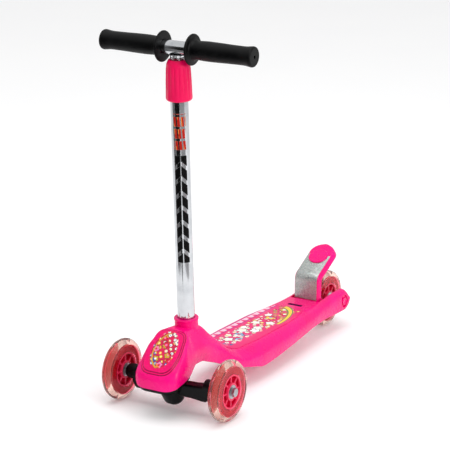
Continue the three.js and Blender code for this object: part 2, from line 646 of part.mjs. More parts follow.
const badgePlace = onSlope(BADGE_AT);
const pedalSlope = tilted(new THREE.Vector3(0, badgePlace.y, badgePlace.z), PEDAL_SLOPE);
add('brake_pedal', makePedal(), PINK);
add('brake_shoe', makeShoe(), BLACK);
add('brake_label', makePedalLabel(), SILVER);
add('brake_badge', makeBadge(), PINK, pedalSlope);
add('brake_pin', moved(alongX(cylinder(2.5, -36, 36, 12)), 0, PIN_Y, PIN_Z), STEEL);
scooter.add(pedalSlope);

// Return spring: a coil round the pin.
function makeBrakeSpring() {
  const turns = 4;
  const points = [];
  for (let i = 0; i <= turns * 8; i++) {
    const a = (i / 8) * 2 * Math.PI;
    points.push(new THREE.Vector3(-7 + (i / (turns * 8)) * 14, 4.6 * Math.cos(a), 4.6 * Math.sin(a)));
  }
  const path = new THREE.CatmullRomCurve3(points);
  const wire = new THREE.Shape(new THREE.EllipseCurve(0, 0, 0.9, 0.9).getPoints(5).slice(0, 5));
  const coil = new THREE.ExtrudeGeometry(wire, { steps: turns * 10, extrudePath: path, bevelEnabled: false });
  return toSolid(coil.translate(0, PIN_Y, PIN_Z));
}
add('brake_spring', makeBrakeSpring(), STEEL);

// ----------------------------------------------------------------------------------------------------
// Stem, twist lock and handlebar, all drawn along the stem's axis

const TUBE_LOW = SOCKET_LOW + 6 + GAP;
const TUBE_TOP = 505;
const KNOB_LOW = 502.7;
const KNOB_TOP = 567;

const lowerTube = ring(TUBE_R - TUBE_WALL, TUBE_R, TUBE_LOW, TUBE_TOP)
  .subtract(moved(alongX(cylinder(3.3, -25, 25, 10)), 0, 0, CROSS_PIN_AT));
add('lower_stem_tube', lowerTube, CHROME, stem);
add('stem_cross_pin', moved(alongX(cylinder(3, -18, 18, 10)), 0, 0, CROSS_PIN_AT), STEEL, stem);

function makeCollet() {
  const inTube = TUBE_R - TUBE_WALL - GAP;
  const sleeve = turned([
    [BAR_R + GAP, TUBE_TOP - 26], [inTube, TUBE_TOP - 26], [inTube, TUBE_TOP + GAP], [15.6, TUBE_TOP + GAP],
    [15.6, TUBE_TOP + 18], [13.2, TUBE_TOP + 32], [BAR_R + GAP, TUBE_TOP + 32], [BAR_R + GAP, TUBE_TOP - 26],
  ], 18);
  return sleeve.subtract(box(-1, 1, 0, 30, TUBE_TOP - 12, TUBE_TOP + 60));
}
add('lock_collet', makeCollet(), BLACK, stem);

// Twist-lock knob: a fluted cap with a wide foot and a rounded shoulder.
function makeKnob() {
  const outer = turned([
    [0, KNOB_LOW], [19.2, KNOB_LOW], [20.8, KNOB_LOW + 2.4], [20.2, KNOB_LOW + 30], [19.4, KNOB_LOW + 50],
    [18, KNOB_LOW + 59], [16.4, KNOB_TOP], [0, KNOB_TOP],
  ]);
  const inside = turned([
    [0, KNOB_LOW - 5], [TUBE_R + 0.4, KNOB_LOW - 5], [TUBE_R + 0.4, TUBE_TOP], [16.1, TUBE_TOP],
    [16.1, TUBE_TOP + 33], [BAR_R + 0.4, TUBE_TOP + 33], [BAR_R + 0.4, KNOB_TOP + 5], [0, KNOB_TOP + 5],
  ], 20);
  return outer.subtract(inside);
}
add('lock_knob', makeKnob(), PINK, stem);

const handlebar = new THREE.Group();
add('upper_stem_tube', ring(BAR_R - TUBE_WALL, BAR_R, 330, BAR_CENTRE - BAR_R - GAP, 20), CHROME, handlebar);
add('stem_weld', turned([
  [BAR_R + GAP, BAR_CENTRE - BAR_R - 4.5], [12.6, BAR_CENTRE - BAR_R - 4.5], [12.6, BAR_CENTRE - BAR_R - 0.4],
  [BAR_R + GAP, BAR_CENTRE - BAR_R - 0.4], [BAR_R + GAP, BAR_CENTRE - BAR_R - 4.5],
], 20), CHROME, handlebar);
const crossbarHalf = BAR_HALF - 3;
const crossbar = alongX(ring(BAR_R - TUBE_WALL, BAR_R, -crossbarHalf, crossbarHalf, 20));
add('crossbar', moved(crossbar, 0, 0, BAR_CENTRE), CHROME, handlebar);

// Rubber grip: an inner disc, a barrelled body and a flared end with a small hole.
function makeGrip(side) {
  const bore = BAR_R + GAP;
  const end = crossbarHalf + GAP;
  const profile = [
    [bore, 24.5], [23.6, 24.5], [24.6, 26], [23.6, 28.2], [15, 30], [14.4, 34], [15.6, 52], [14.6, 96],
    [14.4, 122], [15.8, 129], [15.4, BAR_HALF - 1], [14, BAR_HALF], [2.5, BAR_HALF], [2.5, end], [bore, end],
    [bore, 24.5],
  ];
  return moved(alongX(turned(profile.map(([r, h]) => [r, side * h]), 18)), 0, 0, BAR_CENTRE);
}
add('grip_left', makeGrip(1), RUBBER, handlebar);
add('grip_right', makeGrip(-1), RUBBER, handlebar);
stem.add(handlebar);
scooter.add(stem);

// ----------------------------------------------------------------------------------------------------

const bounds = new THREE.Box3().setFromObject(scooter, true);
scooter.position.y = -(bounds.min.y + bounds.max.y) / 2;
export default scooter;
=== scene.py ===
# %% [markdown]
# # A child's kick scooter
#
# A small three-wheeled scooter: one pink moulding makes the hood, the neck, the footboard and the
# rear fork. Two clear wheels lean under the hood, a third runs in the fork under a foot brake,
# and a T-bar slides in a chromed tube. The working model already holds every part at its real
# size, in flat facets, with its joints. This lesson gives each part its fine surface and its
# finish.
#
# Blender works in metres, in the model's own frame: +Z is up, and the scooter faces -Y.

# %% The working model
import json
import math

import bpy
import numpy as np
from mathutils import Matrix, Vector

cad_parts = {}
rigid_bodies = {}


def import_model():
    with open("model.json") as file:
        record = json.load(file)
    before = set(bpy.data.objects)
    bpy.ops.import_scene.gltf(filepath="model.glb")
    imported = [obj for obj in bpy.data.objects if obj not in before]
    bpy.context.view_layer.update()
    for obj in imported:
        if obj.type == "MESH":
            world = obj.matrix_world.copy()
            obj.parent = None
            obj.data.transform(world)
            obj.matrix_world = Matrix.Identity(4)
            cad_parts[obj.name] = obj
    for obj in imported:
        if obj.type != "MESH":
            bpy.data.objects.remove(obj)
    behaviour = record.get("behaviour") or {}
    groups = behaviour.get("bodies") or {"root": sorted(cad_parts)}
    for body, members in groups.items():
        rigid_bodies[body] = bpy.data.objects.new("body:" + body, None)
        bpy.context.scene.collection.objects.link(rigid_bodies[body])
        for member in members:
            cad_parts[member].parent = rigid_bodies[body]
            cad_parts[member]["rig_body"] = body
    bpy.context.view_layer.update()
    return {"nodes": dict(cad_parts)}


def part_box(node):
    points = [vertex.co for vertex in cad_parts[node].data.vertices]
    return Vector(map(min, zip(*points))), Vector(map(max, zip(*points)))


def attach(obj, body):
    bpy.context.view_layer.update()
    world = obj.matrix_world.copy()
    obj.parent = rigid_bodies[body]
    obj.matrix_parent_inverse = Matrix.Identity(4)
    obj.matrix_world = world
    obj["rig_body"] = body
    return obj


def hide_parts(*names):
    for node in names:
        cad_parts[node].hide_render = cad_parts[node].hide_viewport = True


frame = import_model()

# %% [markdown]
# ## Measuring
#
# The shapes are easier to think about in millimetres from the point on the ground under the front
# axle. The front tyre says where that is, so one helper turns such points into the frame.

# %% From millimetres at the front axle to the frame
MM = 0.001
FRONT_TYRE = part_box("wheel_left_tyre")
FRONT_AXLE_Y = (FRONT_TYRE[0].y + FRONT_TYRE[1].y) / 2


def in_frame(points):
    """Millimetres from the front axle's place on the ground become metres in the frame."""
    return np.asarray(points, float) * MM + [0, FRONT_AXLE_Y, 0]


def tilted(points, origin, angle):
    """Turns points about X, so that +Z leans towards -Y by the angle, and then sets them at the origin."""
    x, y, z = np.moveaxis(np.asarray(points, float), -1, 0)
    c, s = math.cos(angle), math.sin(angle)
    return np.stack([x, y * c - z * s, y * s + z * c], -1) + origin


def along_x(points):
    """Lays points made about +Z along +X."""
    x, y, z = np.moveaxis(np.asarray(points, float), -1, 0)
    return np.stack([z, y, -x], -1)


print("front axle at y =", round(FRONT_AXLE_Y, 4), "m")

# %% [markdown]
# ## Camera
#
# The camera comes first, since everything is judged through it. It stands in front of the
# scooter, a little to its left and above it, with a long lens, as for a catalogue picture: a long
# lens keeps the near wheel from looking bigger than the far one. It aims beside the stem, halfway
# up the scooter.

# %% Camera
CAMERA_TURN = math.radians(30.34)
CAMERA_RISE = math.radians(15.42)
CAMERA_ROLL = math.radians(0.7)
CAMERA_DISTANCE = 3.124
CAMERA_AIM = in_frame([90.5, 0, 318.2])
CAMERA_LENS = 163.1


def put_in_scene(name, data):
    """An object needs a collection before it shows."""
    made = bpy.data.objects.new(name, data)
    bpy.context.scene.collection.objects.link(made)
    return made


def make_camera():
    """Stands at the distance from its aim: back = (sin a cos e, -cos a cos e, sin e)."""
    camera = put_in_scene("camera", bpy.data.cameras.new("camera"))
    a, e = CAMERA_TURN, CAMERA_RISE
    back = np.array([math.sin(a) * math.cos(e), -math.cos(a) * math.cos(e), math.sin(e)])
    camera.location = CAMERA_AIM + back * CAMERA_DISTANCE
    camera.rotation_euler = (math.pi / 2 - e, 0, a)
    camera.rotation_euler.rotate_axis("Z", CAMERA_ROLL)
    camera.data.lens = CAMERA_LENS
    camera.data.clip_end = 100
    bpy.context.scene.camera = camera
    return camera


camera = make_camera()
bpy.context.scene.view_settings.view_transform = "Standard"     # saturated inks stay saturated
print("camera at", [round(v, 2) for v in camera.location])

# %% [markdown]
# ## Surfaces from arrays
#
# Every new shape is a grid of points: rows along the shape and columns round it. numpy works the
# whole grid out at once. Neighbouring points make four-sided faces, and each open end is gathered
# to one point, so that the surface is closed. The volume under the faces says whether they point
# outwards: if it is negative, they are turned.

# %% From a grid to a mesh
SHARP = math.radians(38)               # edges steeper than this stay crisp


def closed_faces(rows, columns, looped):
    """Four corners per face: each (row, column) with its next row and next column, round the ends."""
    row = np.arange(rows if looped else rows - 1)[:, None]
    column = np.arange(columns)[None, :]
    beside = (column + 1) % columns
    near, far = row * columns, (row + 1) % rows * columns
    return np.stack([near + column, near + beside, far + beside, far + column], -1).reshape(-1, 4)


def end_fan(first, columns, pole, flipped):
    """Three corners per face, from one end row to its pole."""
    column = np.arange(columns)
    here, beside = first + column, first + (column + 1) % columns
    sides = (beside, here) if flipped else (here, beside)
    return np.stack([*sides, np.full(columns, pole)], -1)


def volume_under(points, faces):
    """A sixth of the sum of a . (b x c) over each face's triangles."""
    a, b, c = (points[faces[:, k]] for k in range(3))
    total = np.einsum("ij,ij->", a, np.cross(b, c))
    if faces.shape[1] == 4:
        total += np.einsum("ij,ij->", a, np.cross(c, points[faces[:, 3]]))
    return total / 6


def surface(name, grid, looped=False, poles=None):
    """Makes a mesh object from a grid of millimetre points. The columns always close on themselves."""
    rows, columns = grid.shape[:2]
    points = grid.reshape(-1, 3)
    groups = [closed_faces(rows, columns, looped)]
    if not looped:
        ends = poles if poles is not None else (grid[0].mean(0), grid[-1].mean(0))
        points = np.vstack([points, ends])
        groups.append(end_fan(0, columns, len(points) - 2, True))
        groups.append(end_fan((rows - 1) * columns, columns, len(points) - 1, False))
    if sum(volume_under(points, faces) for faces in groups) < 0:
        groups = [faces[:, ::-1] for faces in groups]
    mesh = bpy.data.meshes.new(name)
    mesh.from_pydata(in_frame(points), [], [face for faces in groups for face in faces.tolist()])
    return smoothed(put_in_scene(name, mesh))


def smoothed(piece):
    """Shades a piece smooth, but for its sharp edges."""
    piece.data.shade_smooth()
    piece.data.set_sharp_from_angle(angle=SHARP)
    return piece


# %% [markdown]
# Two kinds of shape come back again and again: a profile turned about an axis, such as a tube or
# a knob, and a flat outline raised to a thickness, such as a plate or a cutter. Real parts have
# no knife edges, so the corners of both are rounded first: each corner gives way to a short curve
# between its two sides.

# %% Round corners
SHORTEST = 0.1                         # millimetres, so that sides of no length do no harm


def bent(before, corner, after, reach, steps, share=0.49):
    """A curve for each corner: (1-t)^2 start + 2t(1-t) corner + t^2 end.

    The start and the end lie towards the corner's neighbours, at the reach from it, but never past
    the share of the way there.
    """
    def towards(other):
        way = other - corner
        length = np.maximum(np.linalg.norm(way, axis=-1, keepdims=True), SHORTEST)
        return (corner + way * np.minimum(share, reach / length))[:, None]

    t = np.linspace(0, 1, steps + 1)[:, None]
    return (1 - t) ** 2 * towards(before) + 2 * t * (1 - t) * corner[:, None] + t ** 2 * towards(after)


def rounded(corners, reach, steps=5, closed=True):
    """Rounds every corner of an outline. An open one keeps its two ends."""
    corners = np.asarray(corners, float)
    reach = np.broadcast_to(np.asarray(reach, float), len(corners))[:, None]
    curves = bent(np.roll(corners, 1, 0), corners, np.roll(corners, -1, 0), reach, steps)
    if closed:
        return curves.reshape(-1, 2)
    return np.vstack([corners[:1], curves[1:-1].reshape(-1, 2), corners[-1:]])


def round_half(corners, reaches, steps, share=0.49):
    """Rounds the inner corners of many half outlines at once, and adds each one's mirror image."""
    half = [corners[:, :1]]
    for k, reach in enumerate(reaches, 1):
        half.append(bent(corners[:, k - 1], corners[:, k], corners[:, k + 1], reach, steps, share))
    half = np.concatenate([*half, corners[:, -1:]], 1)
    return np.concatenate([half, half[:, -2:0:-1] * [-1, 1]], 1)


print("a square with round corners has", len(rounded([[0, 0], [1, 0], [1, 1], [0, 1]], 0.2)), "points")

# %% Turned shapes and raised outlines
def turned(profile, segments=96):
    """Carries a profile of (radius, height) rows round +Z: (r cos a, r sin a, h)."""
    turn = np.arange(segments) * 2 * math.pi / segments
    radius, height = profile[:, :1], profile[:, 1:]
    return np.stack([radius * np.cos(turn), radius * np.sin(turn), height + 0 * turn], -1)


def turned_piece(name, profile, reach, place, segments=96, steps=5):
    """A turned solid. A profile that starts on the axis ends on it too, and any other closes on itself."""
    solid = profile[0][0] == 0
    outline = rounded(profile, reach, steps, closed=not solid)
    grid = place(turned(outline[1:-1] if solid else outline, segments))
    poles = place(np.array([[0, 0, outline[0, 1]], [0, 0, outline[-1, 1]]])) if solid else None
    return surface(name, grid, looped=not solid, poles=poles)


def raised_piece(name, outline, low, high):
    """An outline carried from one height to another."""
    rows = [np.column_stack([outline, np.full(len(outline), height)]) for height in (low, high)]
    return surface(name, np.stack(rows).astype(float))


def box_piece(name, low, high):
    """A plain block, used to cut and to rib."""
    (x0, y0, z0), (x1, y1, z1) = low, high
    return raised_piece(name, [[x0, y0], [x1, y0], [x1, y1], [x0, y1]], z0, z1)


def applied(piece):
    """Replaces a piece's mesh by what its modifiers make of it."""
    bpy.context.view_layer.update()
    done = bpy.data.meshes.new_from_object(piece.evaluated_get(bpy.context.evaluated_depsgraph_get()))
    piece.modifiers.clear()
    piece.data = done
    return smoothed(piece)


def reshaped(piece, others, operation):
    """Joins others to a piece, or takes them out of it, with exact booleans, and keeps only the result."""
    for other in others:
        step = piece.modifiers.new(other.name, "BOOLEAN")
        step.object, step.operation, step.solver = other, operation, "EXACT"
    applied(piece)
    for other in others:
        bpy.data.objects.remove(other)
    return piece


print("helpers for surfaces ready")

# %% [markdown]
# ## Finishes as sums
#
# A finish is a web of nodes. To keep it readable, a small class wraps one output of a node, so
# that patterns are written as sums: `1 - mask` adds a Math node and links it. Any other node
# comes from the method `node`, which takes the node's type, its settings, and the values or wires
# of its inputs.

# %% One class for shader sums
class Wire:
    """An output socket that can stand in a sum."""

    def __init__(self, socket):
        self.socket = socket

    def node(self, kind, settings=None, inputs=None, output=0):
        """Adds a node of a kind, sets it, and fills its inputs with values or wires."""
        tree = self.socket.id_data
        made = tree.nodes.new(kind)
        for name, value in (settings or {}).items():
            if name == "stops":
                set_stops(made.color_ramp, value)
            else:
                setattr(made, name, value)
        for key, value in (inputs or {}).items():
            if isinstance(value, Wire):
                tree.links.new(value.socket, made.inputs[key])
            else:
                made.inputs[key].default_value = value
        return Wire(made.outputs[output])

    def sum(self, operation, *others):
        """One Math node on this wire and the others, in that order."""
        return self.node("ShaderNodeMath", {"operation": operation}, dict(enumerate([self, *others])))

    def __add__(self, other):
        return self.sum("ADD", other)

    def __sub__(self, other):
        return self.sum("SUBTRACT", other)

    def __rsub__(self, other):
        return self.node("ShaderNodeMath", {"operation": "SUBTRACT"}, {0: other, 1: self})

    def __mul__(self, other):
        return self.sum("MULTIPLY", other)

    def __truediv__(self, other):
        return self.sum("DIVIDE", other)

    __radd__ = __add__
    __rmul__ = __mul__

    def size(self):
        """The number without its sign."""
        return self.sum("ABSOLUTE")

    def squared(self):
        """The number times itself."""
        return self * self

    def stripes(self):
        """How far each point is from the middle of its stripe, 0 to 0.5. A stripe is one unit wide."""
        return (self.sum("FRACT") - 0.5).size()

    def most(self, other):
        """The larger of two numbers."""
        return self.sum("MAXIMUM", other)

    def ramp(self, low, high):
        """0 below low, 1 above high, and a smooth rise between. A low above high turns it round."""
        ends = {"Value": self, "From Min": low, "From Max": high}
        return self.node("ShaderNodeMapRange", {"interpolation_type": "SMOOTHSTEP"}, ends)

    def choose(self, under, over):
        """The colour under where this wire is 0, and the colour over where it is 1."""
        return self.node("ShaderNodeMix", {"data_type": "RGBA"}, {0: self, 6: under, 7: over}, output=2)

    def parts(self):
        """The three numbers of a vector."""
        split = self.node("ShaderNodeSeparateXYZ", inputs={0: self}).socket.node
        return [Wire(output) for output in split.outputs]

    def noise(self, scale, detail=2.0, stretch=None):
        """Cloudy noise from 0 to 1. The scale counts blotches per millimetre."""
        where = self.moved(scale=stretch) if stretch else self
        return where.node("ShaderNodeTexNoise", inputs={"Vector": where, "Scale": scale, "Detail": detail})

    def cells(self, scale, randomness=1.0, settings=None):
        """Voronoi cells: distance to the cell's middle, a chance colour for the whole cell, its middle."""
        inputs = {"Vector": self, "Scale": scale, "Randomness": randomness}
        made = self.node("ShaderNodeTexVoronoi", settings, inputs).socket.node
        return [Wire(made.outputs[name]) for name in ("Distance", "Color", "Position")]

    def inked(self, stops):
        """The colour of the last of the (position, colour) stops that the number has passed."""
        return self.node("ShaderNodeValToRGB", {"stops": stops}, {0: self})

    def moved(self, origin=(0, 0, 0), turn=(0, 0, 0), scale=(1, 1, 1)):
        """Coordinates seen from a frame that sits at the origin and is turned."""
        inputs = {"Vector": self, "Location": origin, "Rotation": turn, "Scale": scale}
        return self.node("ShaderNodeMapping", {"vector_type": "TEXTURE"}, inputs)


def set_stops(ramp, stops):
    """Fills a colour ramp with (position, colour) stops, each colour held up to the next."""
    ramp.interpolation = "CONSTANT"
    while len(ramp.elements) < len(stops):
        ramp.elements.new(1.0)
    for element, (position, value) in zip(ramp.elements, stops):
        element.position, element.color = position, value


print("a wire offers", [name for name in vars(Wire) if not name.startswith("_")])

# %% Colours
def tone(red, green, blue):
    """A colour as a screen shows it, 0 to 255, as the linear numbers that shaders use."""
    shown = np.array([red, green, blue]) / 255
    linear = np.where(shown <= 0.04045, shown / 12.92, ((shown + 0.055) / 1.055) ** 2.4)
    return (*[float(v) for v in linear], 1.0)


print("a middle grey on the screen is", round(tone(128, 128, 128)[0], 3), "in linear light")

# %% One finish
class Finish:
    """One material: its shader, and the object's coordinates in millimetres from the front axle."""

    def __init__(self, name, **constants):
        self.material = bpy.data.materials.new(name)
        self.material.use_nodes = True
        self.shader = self.material.node_tree.nodes["Principled BSDF"]
        for key, value in constants.items():
            self.shader.inputs[key.replace("_", " ")].default_value = value
        coordinates = self.material.node_tree.nodes.new("ShaderNodeTexCoord")
        in_metres = Wire(coordinates.outputs["Object"])
        self.where = in_metres.moved(origin=(0, FRONT_AXLE_Y, 0), scale=(MM, MM, MM))

    def feed(self, **wires):
        """Links wires to the shader's sockets, such as Base_Color."""
        for key, wire in wires.items():
            self.material.node_tree.links.new(wire.socket, self.shader.inputs[key.replace("_", " ")])

    def attribute(self, name):
        """A number that the mesh keeps for each point."""
        return self.where.node("ShaderNodeAttribute", {"attribute_name": name}, output=2)

    def relief(self, height, rounding=0.0):
        """Bumps from a height in millimetres. The rounding, also in millimetres, softens edges."""
        inputs = {"Height": height, "Distance": MM}
        if rounding:
            inputs["Normal"] = height.node("ShaderNodeBevel", {"samples": 4}, {"Radius": rounding * MM})
        self.feed(Normal=height.node("ShaderNodeBump", inputs=inputs))


finishes = {}
print("helpers for finishes ready")

# %% [markdown]
# ## Putting pieces in
#
# Each new piece rides on the moving body of the part it stands for, takes that part's place, and
# gets its finish.


def painted(piece, finish):
    """Gives a piece one finish all over."""
    piece.data.materials.clear()
    piece.data.materials.append(finishes[finish])


def settle(piece, finish, node):
    """Gives a piece its finish, and the place of a part among the moving bodies."""
    painted(piece, finish)
    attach(piece, frame["nodes"][node]["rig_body"])
    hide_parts(node)
    return piece


def softened(node, finish, width):
    """A part whose plain shape is right: a copy of it, merged, with its edges rounded by a bevel."""
    piece = put_in_scene(node + "_fine", frame["nodes"][node].data.copy())
    piece.modifiers.new("merge", "WELD").merge_threshold = 0.02 * MM
    applied(piece)
    bevel = piece.modifiers.new("edges", "BEVEL")
    bevel.width, bevel.segments, bevel.angle_limit = width * MM, 2, math.radians(35)
    return settle(piece, finish, node)


# %% [markdown]
# ## Moulded plastic
#
# The hood, footboard and brake are moulded from pink plastic. It looks like one colour and isn't:
# the pigment clouds a little, the mould leaves a very fine orange peel that breaks up
# reflections, and hands and shoes leave patches that are less glossy. Each of these is a layer of
# noise, from hand-sized down to a tenth of a millimetre.

# %% Pink moulded plastic
def moulded_plastic(name, light, dark, gloss=0.24, peel=0.012, rounding=0.0, shade=None):
    """Colour clouds between two tones, smudges in the gloss, fine scratches, and orange peel in the surface.

    A shade, if given, turns the finish into a mask and the colour that the mask lets in.
    """
    finish = Finish(name, Specular_IOR_Level=0.22)
    where = finish.where
    clouds = where.noise(0.018, 3.0).ramp(0.3, 0.7)
    smudges = where.noise(0.06, 4.0).ramp(0.42, 0.75)
    worn = where.noise(0.05).ramp(0.5, 0.7)
    scratches = where.noise(0.9, 1.0, stretch=(1, 14, 1)).ramp(0.68, 0.74) * worn
    colour = clouds.choose(dark, light)
    colour = (scratches * 0.25).choose(colour, tone(255, 90, 180))
    if shade:
        mask, other = shade(finish)
        colour = mask.choose(colour, other)
    finish.feed(Base_Color=colour, Roughness=gloss + smudges * 0.12 + scratches * 0.2)
    height = where.noise(0.45, 2.0) * peel + where.noise(4.0, 2.0) * (peel * 0.3) - scratches * 0.006
    finish.relief(height, rounding)
    return finish.material


def slot_shadow(finish):
    """The walls of the footboard's slot, which lie so deep in shade that they look plum."""
    x, y, height = finish.where.parts()
    mask = x.size().ramp(14.4, 14.0) * (y - 400.5).size().ramp(4.9, 4.6) * height.ramp(66.9, 66.4)
    return mask, tone(78, 6, 74)


def spoke_faces(finish):
    """The raised faces of a wheel's spokes, which catch the light."""
    return finish.attribute("raised").ramp(5.4, 6.4), tone(228, 52, 92)


finishes["pink"] = moulded_plastic(
    "pink_plastic", tone(243, 5, 126), tone(237, 4, 114), rounding=0.7, shade=slot_shadow)
finishes["knob"] = moulded_plastic(
    "knob_plastic", tone(226, 0, 82), tone(216, 0, 74), gloss=0.3, rounding=0.4)
finishes["hub"] = moulded_plastic(
    "hub_plastic", tone(204, 2, 50), tone(186, 0, 40), gloss=0.25, rounding=0.3, shade=spoke_faces)
print("plastics:", sorted(finishes))

# %% [markdown]
# The truck, the base plate and the brake shoe are black plastic with a grain etched into the
# mould: small rounded cells, which Voronoi noise gives. The grips are rubber, which is duller,
# with a finer and softer grain.

# %% Black plastic and rubber
def grained_black(name, light, dark, gloss, cell, depth):
    """Small cells in relief on black, with dust that greys it in patches."""
    finish = Finish(name, Specular_IOR_Level=0.15)
    where = finish.where
    from_middle = where.cells(1 / cell)[0]
    dust = where.noise(0.05, 4.0).ramp(0.35, 0.75)
    finish.feed(Base_Color=dust.choose(dark, light), Roughness=gloss + dust * 0.12)
    finish.relief(from_middle.ramp(0.05, 0.6) * -depth + where.noise(0.3) * 0.02, 0.5)
    return finish.material


finishes["black"] = grained_black("black_plastic", tone(14, 14, 15), tone(5, 5, 6), 0.34, 0.9, 0.03)
finishes["rubber"] = grained_black("grip_rubber", tone(12, 12, 13), tone(4, 4, 5), 0.42, 0.5, 0.025)
print("blacks ready")

# %% [markdown]
# Chrome is a mirror, so what shows is the room. Its own detail is slight: a haze from polishing
# in fine lines round the tube, and soft smears where hands have been. The screws and bearings are
# zinc plated, which is greyer and cloudier.

# %% Metals
STEM_FOOT = np.array([0, 46.1, 0])
STEM_LEAN = math.radians(4)


def on_stem(points):
    """Points drawn along the stem's axis, from the ground up."""
    return tilted(points, STEM_FOOT, STEM_LEAN)


def along_stem(where):
    """The same frame for a finish."""
    return where.moved(origin=tuple(STEM_FOOT), turn=(STEM_LEAN, 0, 0))


def wear(where):
    """(smears, polish): where hands have dulled a metal, and fine lines round the stem's axis."""
    smears = where.noise(0.04, 4.0).ramp(0.35, 0.8)
    return smears, along_stem(where).noise(2.5, 1.0, stretch=(12, 12, 1))


def plated(name, light, dark, gloss, lines):
    """A metal with smears in its gloss and polishing lines in its relief."""
    finish = Finish(name, Metallic=1.0)
    smears, polish = wear(finish.where)
    finish.feed(Base_Color=smears.choose(light, dark), Roughness=gloss + smears * 0.08 + polish * lines)
    finish.relief(polish * lines * 0.02 + finish.where.noise(0.8) * 0.002)
    return finish.material


finishes["chrome"] = plated("chrome", tone(214, 216, 219), tone(192, 195, 199), 0.07, 0.05)
finishes["zinc"] = plated("zinc_steel", tone(190, 192, 196), tone(150, 152, 156), 0.22, 0.12)
print("metals ready")

# %% [markdown]
# ## The moulding
#
# Hood, neck, footboard and fork are one shell, 3 mm thick and open underneath. It could be pushed
# and pulled into shape by hand, but a boat builder's way is easier to control: cross-sections at
# stations from nose to tail, with a smooth skin through them. Each section needs six numbers: the
# height and half-width of its flat top, the half-width and height of its widest line, and the
# half-width and height of its lower edge.

# %% Stations of the moulding
DECK_TOP = 67.0
STATIONS = np.array([
    # y, top, flat, wide, waist, foot, edge
    [-65.1, 67, 8, 15, 61, 13, 54], [-64, 71, 14, 22, 62, 20, 52], [-62, 75, 22, 30, 64, 27, 52.4],
    [-57, 79.4, 30, 37, 67, 33, 53.5], [-48, 87.5, 34, 40.5, 73, 37, 55.4],
    [-23, 110.3, 34.5, 40.5, 85, 37.5, 60.6], [-10, 122.1, 30, 39.5, 90, 37, 64.5],
    [0, 130, 25, 38.5, 94, 36, 72], [12, 132.5, 19, 37, 98, 34.5, 78],
    [30, 132, 17, 36, 98, 34, 77.5], [50, 130, 17, 36, 95, 34, 71], [74, 112, 19, 38, 87, 36, 62],
    [97, 92.5, 24, 44, 75, 42, 52.5], [117, 74, 33, 50.5, 61, 49.5, 44],
    [134, DECK_TOP, 38, 53.5, 54, 52, 40],
    [170, DECK_TOP, 43, 56.5, 48, 55, 31], [198, DECK_TOP, 44.5, 57.5, 46, 56, 25],
    [225, DECK_TOP, 44.5, 57, 46, 55.5, 26], [300, DECK_TOP, 42.5, 54, 47, 52.5, 31],
    [350, DECK_TOP, 39.5, 50, 48, 48.5, 34], [400, DECK_TOP, 36, 45.5, 50, 44, 36],
    [440, 68, 34.5, 42, 52, 41, 36], [485, 71.5, 34, 40.5, 54, 40, 34], [514, 72, 34, 40.5, 53, 40, 33.5],
    [525, 69, 34, 40.5, 53, 40, 37], [531, 63.5, 34, 40.5, 53, 40, 42], [534.5, 57, 34, 40, 53, 40, 49],
])


def stations_at(y):
    """Sections between the stations, each number on its own smooth curve.

    The curve is a cubic between stations. Its slope at a station is the weighted harmonic mean of the
    slopes on both sides, or level where they disagree, so it never swings past a station.
    """
    x, values = STATIONS[:, 0], STATIONS[:, 1:]
    gap = np.diff(x)[:, None]
    rise = np.diff(values, axis=0) / gap
    before, after = 2 * gap[1:] + gap[:-1], gap[1:] + 2 * gap[:-1]
    agree = rise[:-1] * rise[1:] > 0
    safe = np.where(agree, rise[:-1], 1), np.where(agree, rise[1:], 1)
    inner = np.where(agree, (before + after) / (before / safe[0] + after / safe[1]), 0)
    slope = np.vstack([rise[:1], inner, rise[-1:]])
    i = np.clip(np.searchsorted(x, y) - 1, 0, len(x) - 2)
    t = ((y - x[i]) / gap[i, 0])[:, None]
    a, b, ga = values[i], values[i + 1], gap[i]
    start, end = slope[i] * ga, slope[i + 1] * ga
    curve = a + t * start + t ** 2 * (3 * (b - a) - 2 * start - end) + t ** 3 * (2 * (a - b) + start + end)
    return np.column_stack([y, curve])


print("halfway along the footboard:", stations_at(np.array([262.5])).round(1)[0])

# %% Outlines through the stations
SIDE_REACH = 11.0
HEM_REACH = 2.5


def section_grid(sections, shoulder=8.0, steps=8):
    """One closed outline per section: crown, shoulder, side, hem and sole, and the same mirrored."""
    y, top, flat, wide, waist, foot, edge = sections.T
    zero = 0 * y
    x = np.stack([zero, flat, wide, foot, zero], 1)
    z = np.stack([top, top, waist, edge, edge], 1)
    outline = round_half(np.stack([x, z], -1), (shoulder, SIDE_REACH, HEM_REACH), steps)
    lengthways = np.broadcast_to(y[:, None], outline.shape[:2])
    return np.stack([outline[..., 0], lengthways, outline[..., 1]], -1)


def drawn_in(sections, depth, drop):
    """Sections a depth inside the skin, with their lower edge dropped. The hood's slope needs more."""
    y, top, flat, wide, waist, foot, edge = sections.T
    slant = np.where(y < 134, 1.5, 1.0)
    return np.column_stack([
        y, top - depth * slant, flat - depth * 0.7, wide - depth, waist, foot - depth, edge - drop])


outer_y = np.concatenate([np.linspace(a, b, 9)[:-1] for a, b in zip(STATIONS[:-1, 0], STATIONS[1:, 0])])
outer_y = np.append(outer_y, STATIONS[-1, 0])
print(len(outer_y), "sections from nose to tail")

# %% [markdown]
# The shell is then opened up as a mould would leave it: hollow from below, with ribs that stiffen
# the footboard, a socket for the stem that flows into the neck, a gap for the rear wheel, holes
# for the rear axle, and a slot in the footboard. Booleans do this, since each cut crosses the
# skin on a line that no grid would follow.

# %% Ribs and socket
WALL = 3.0
RIB_LOW = 56.0
RIB_HALF = 1.2
FORK_START = 434
SOCKET_TOP = 145.5


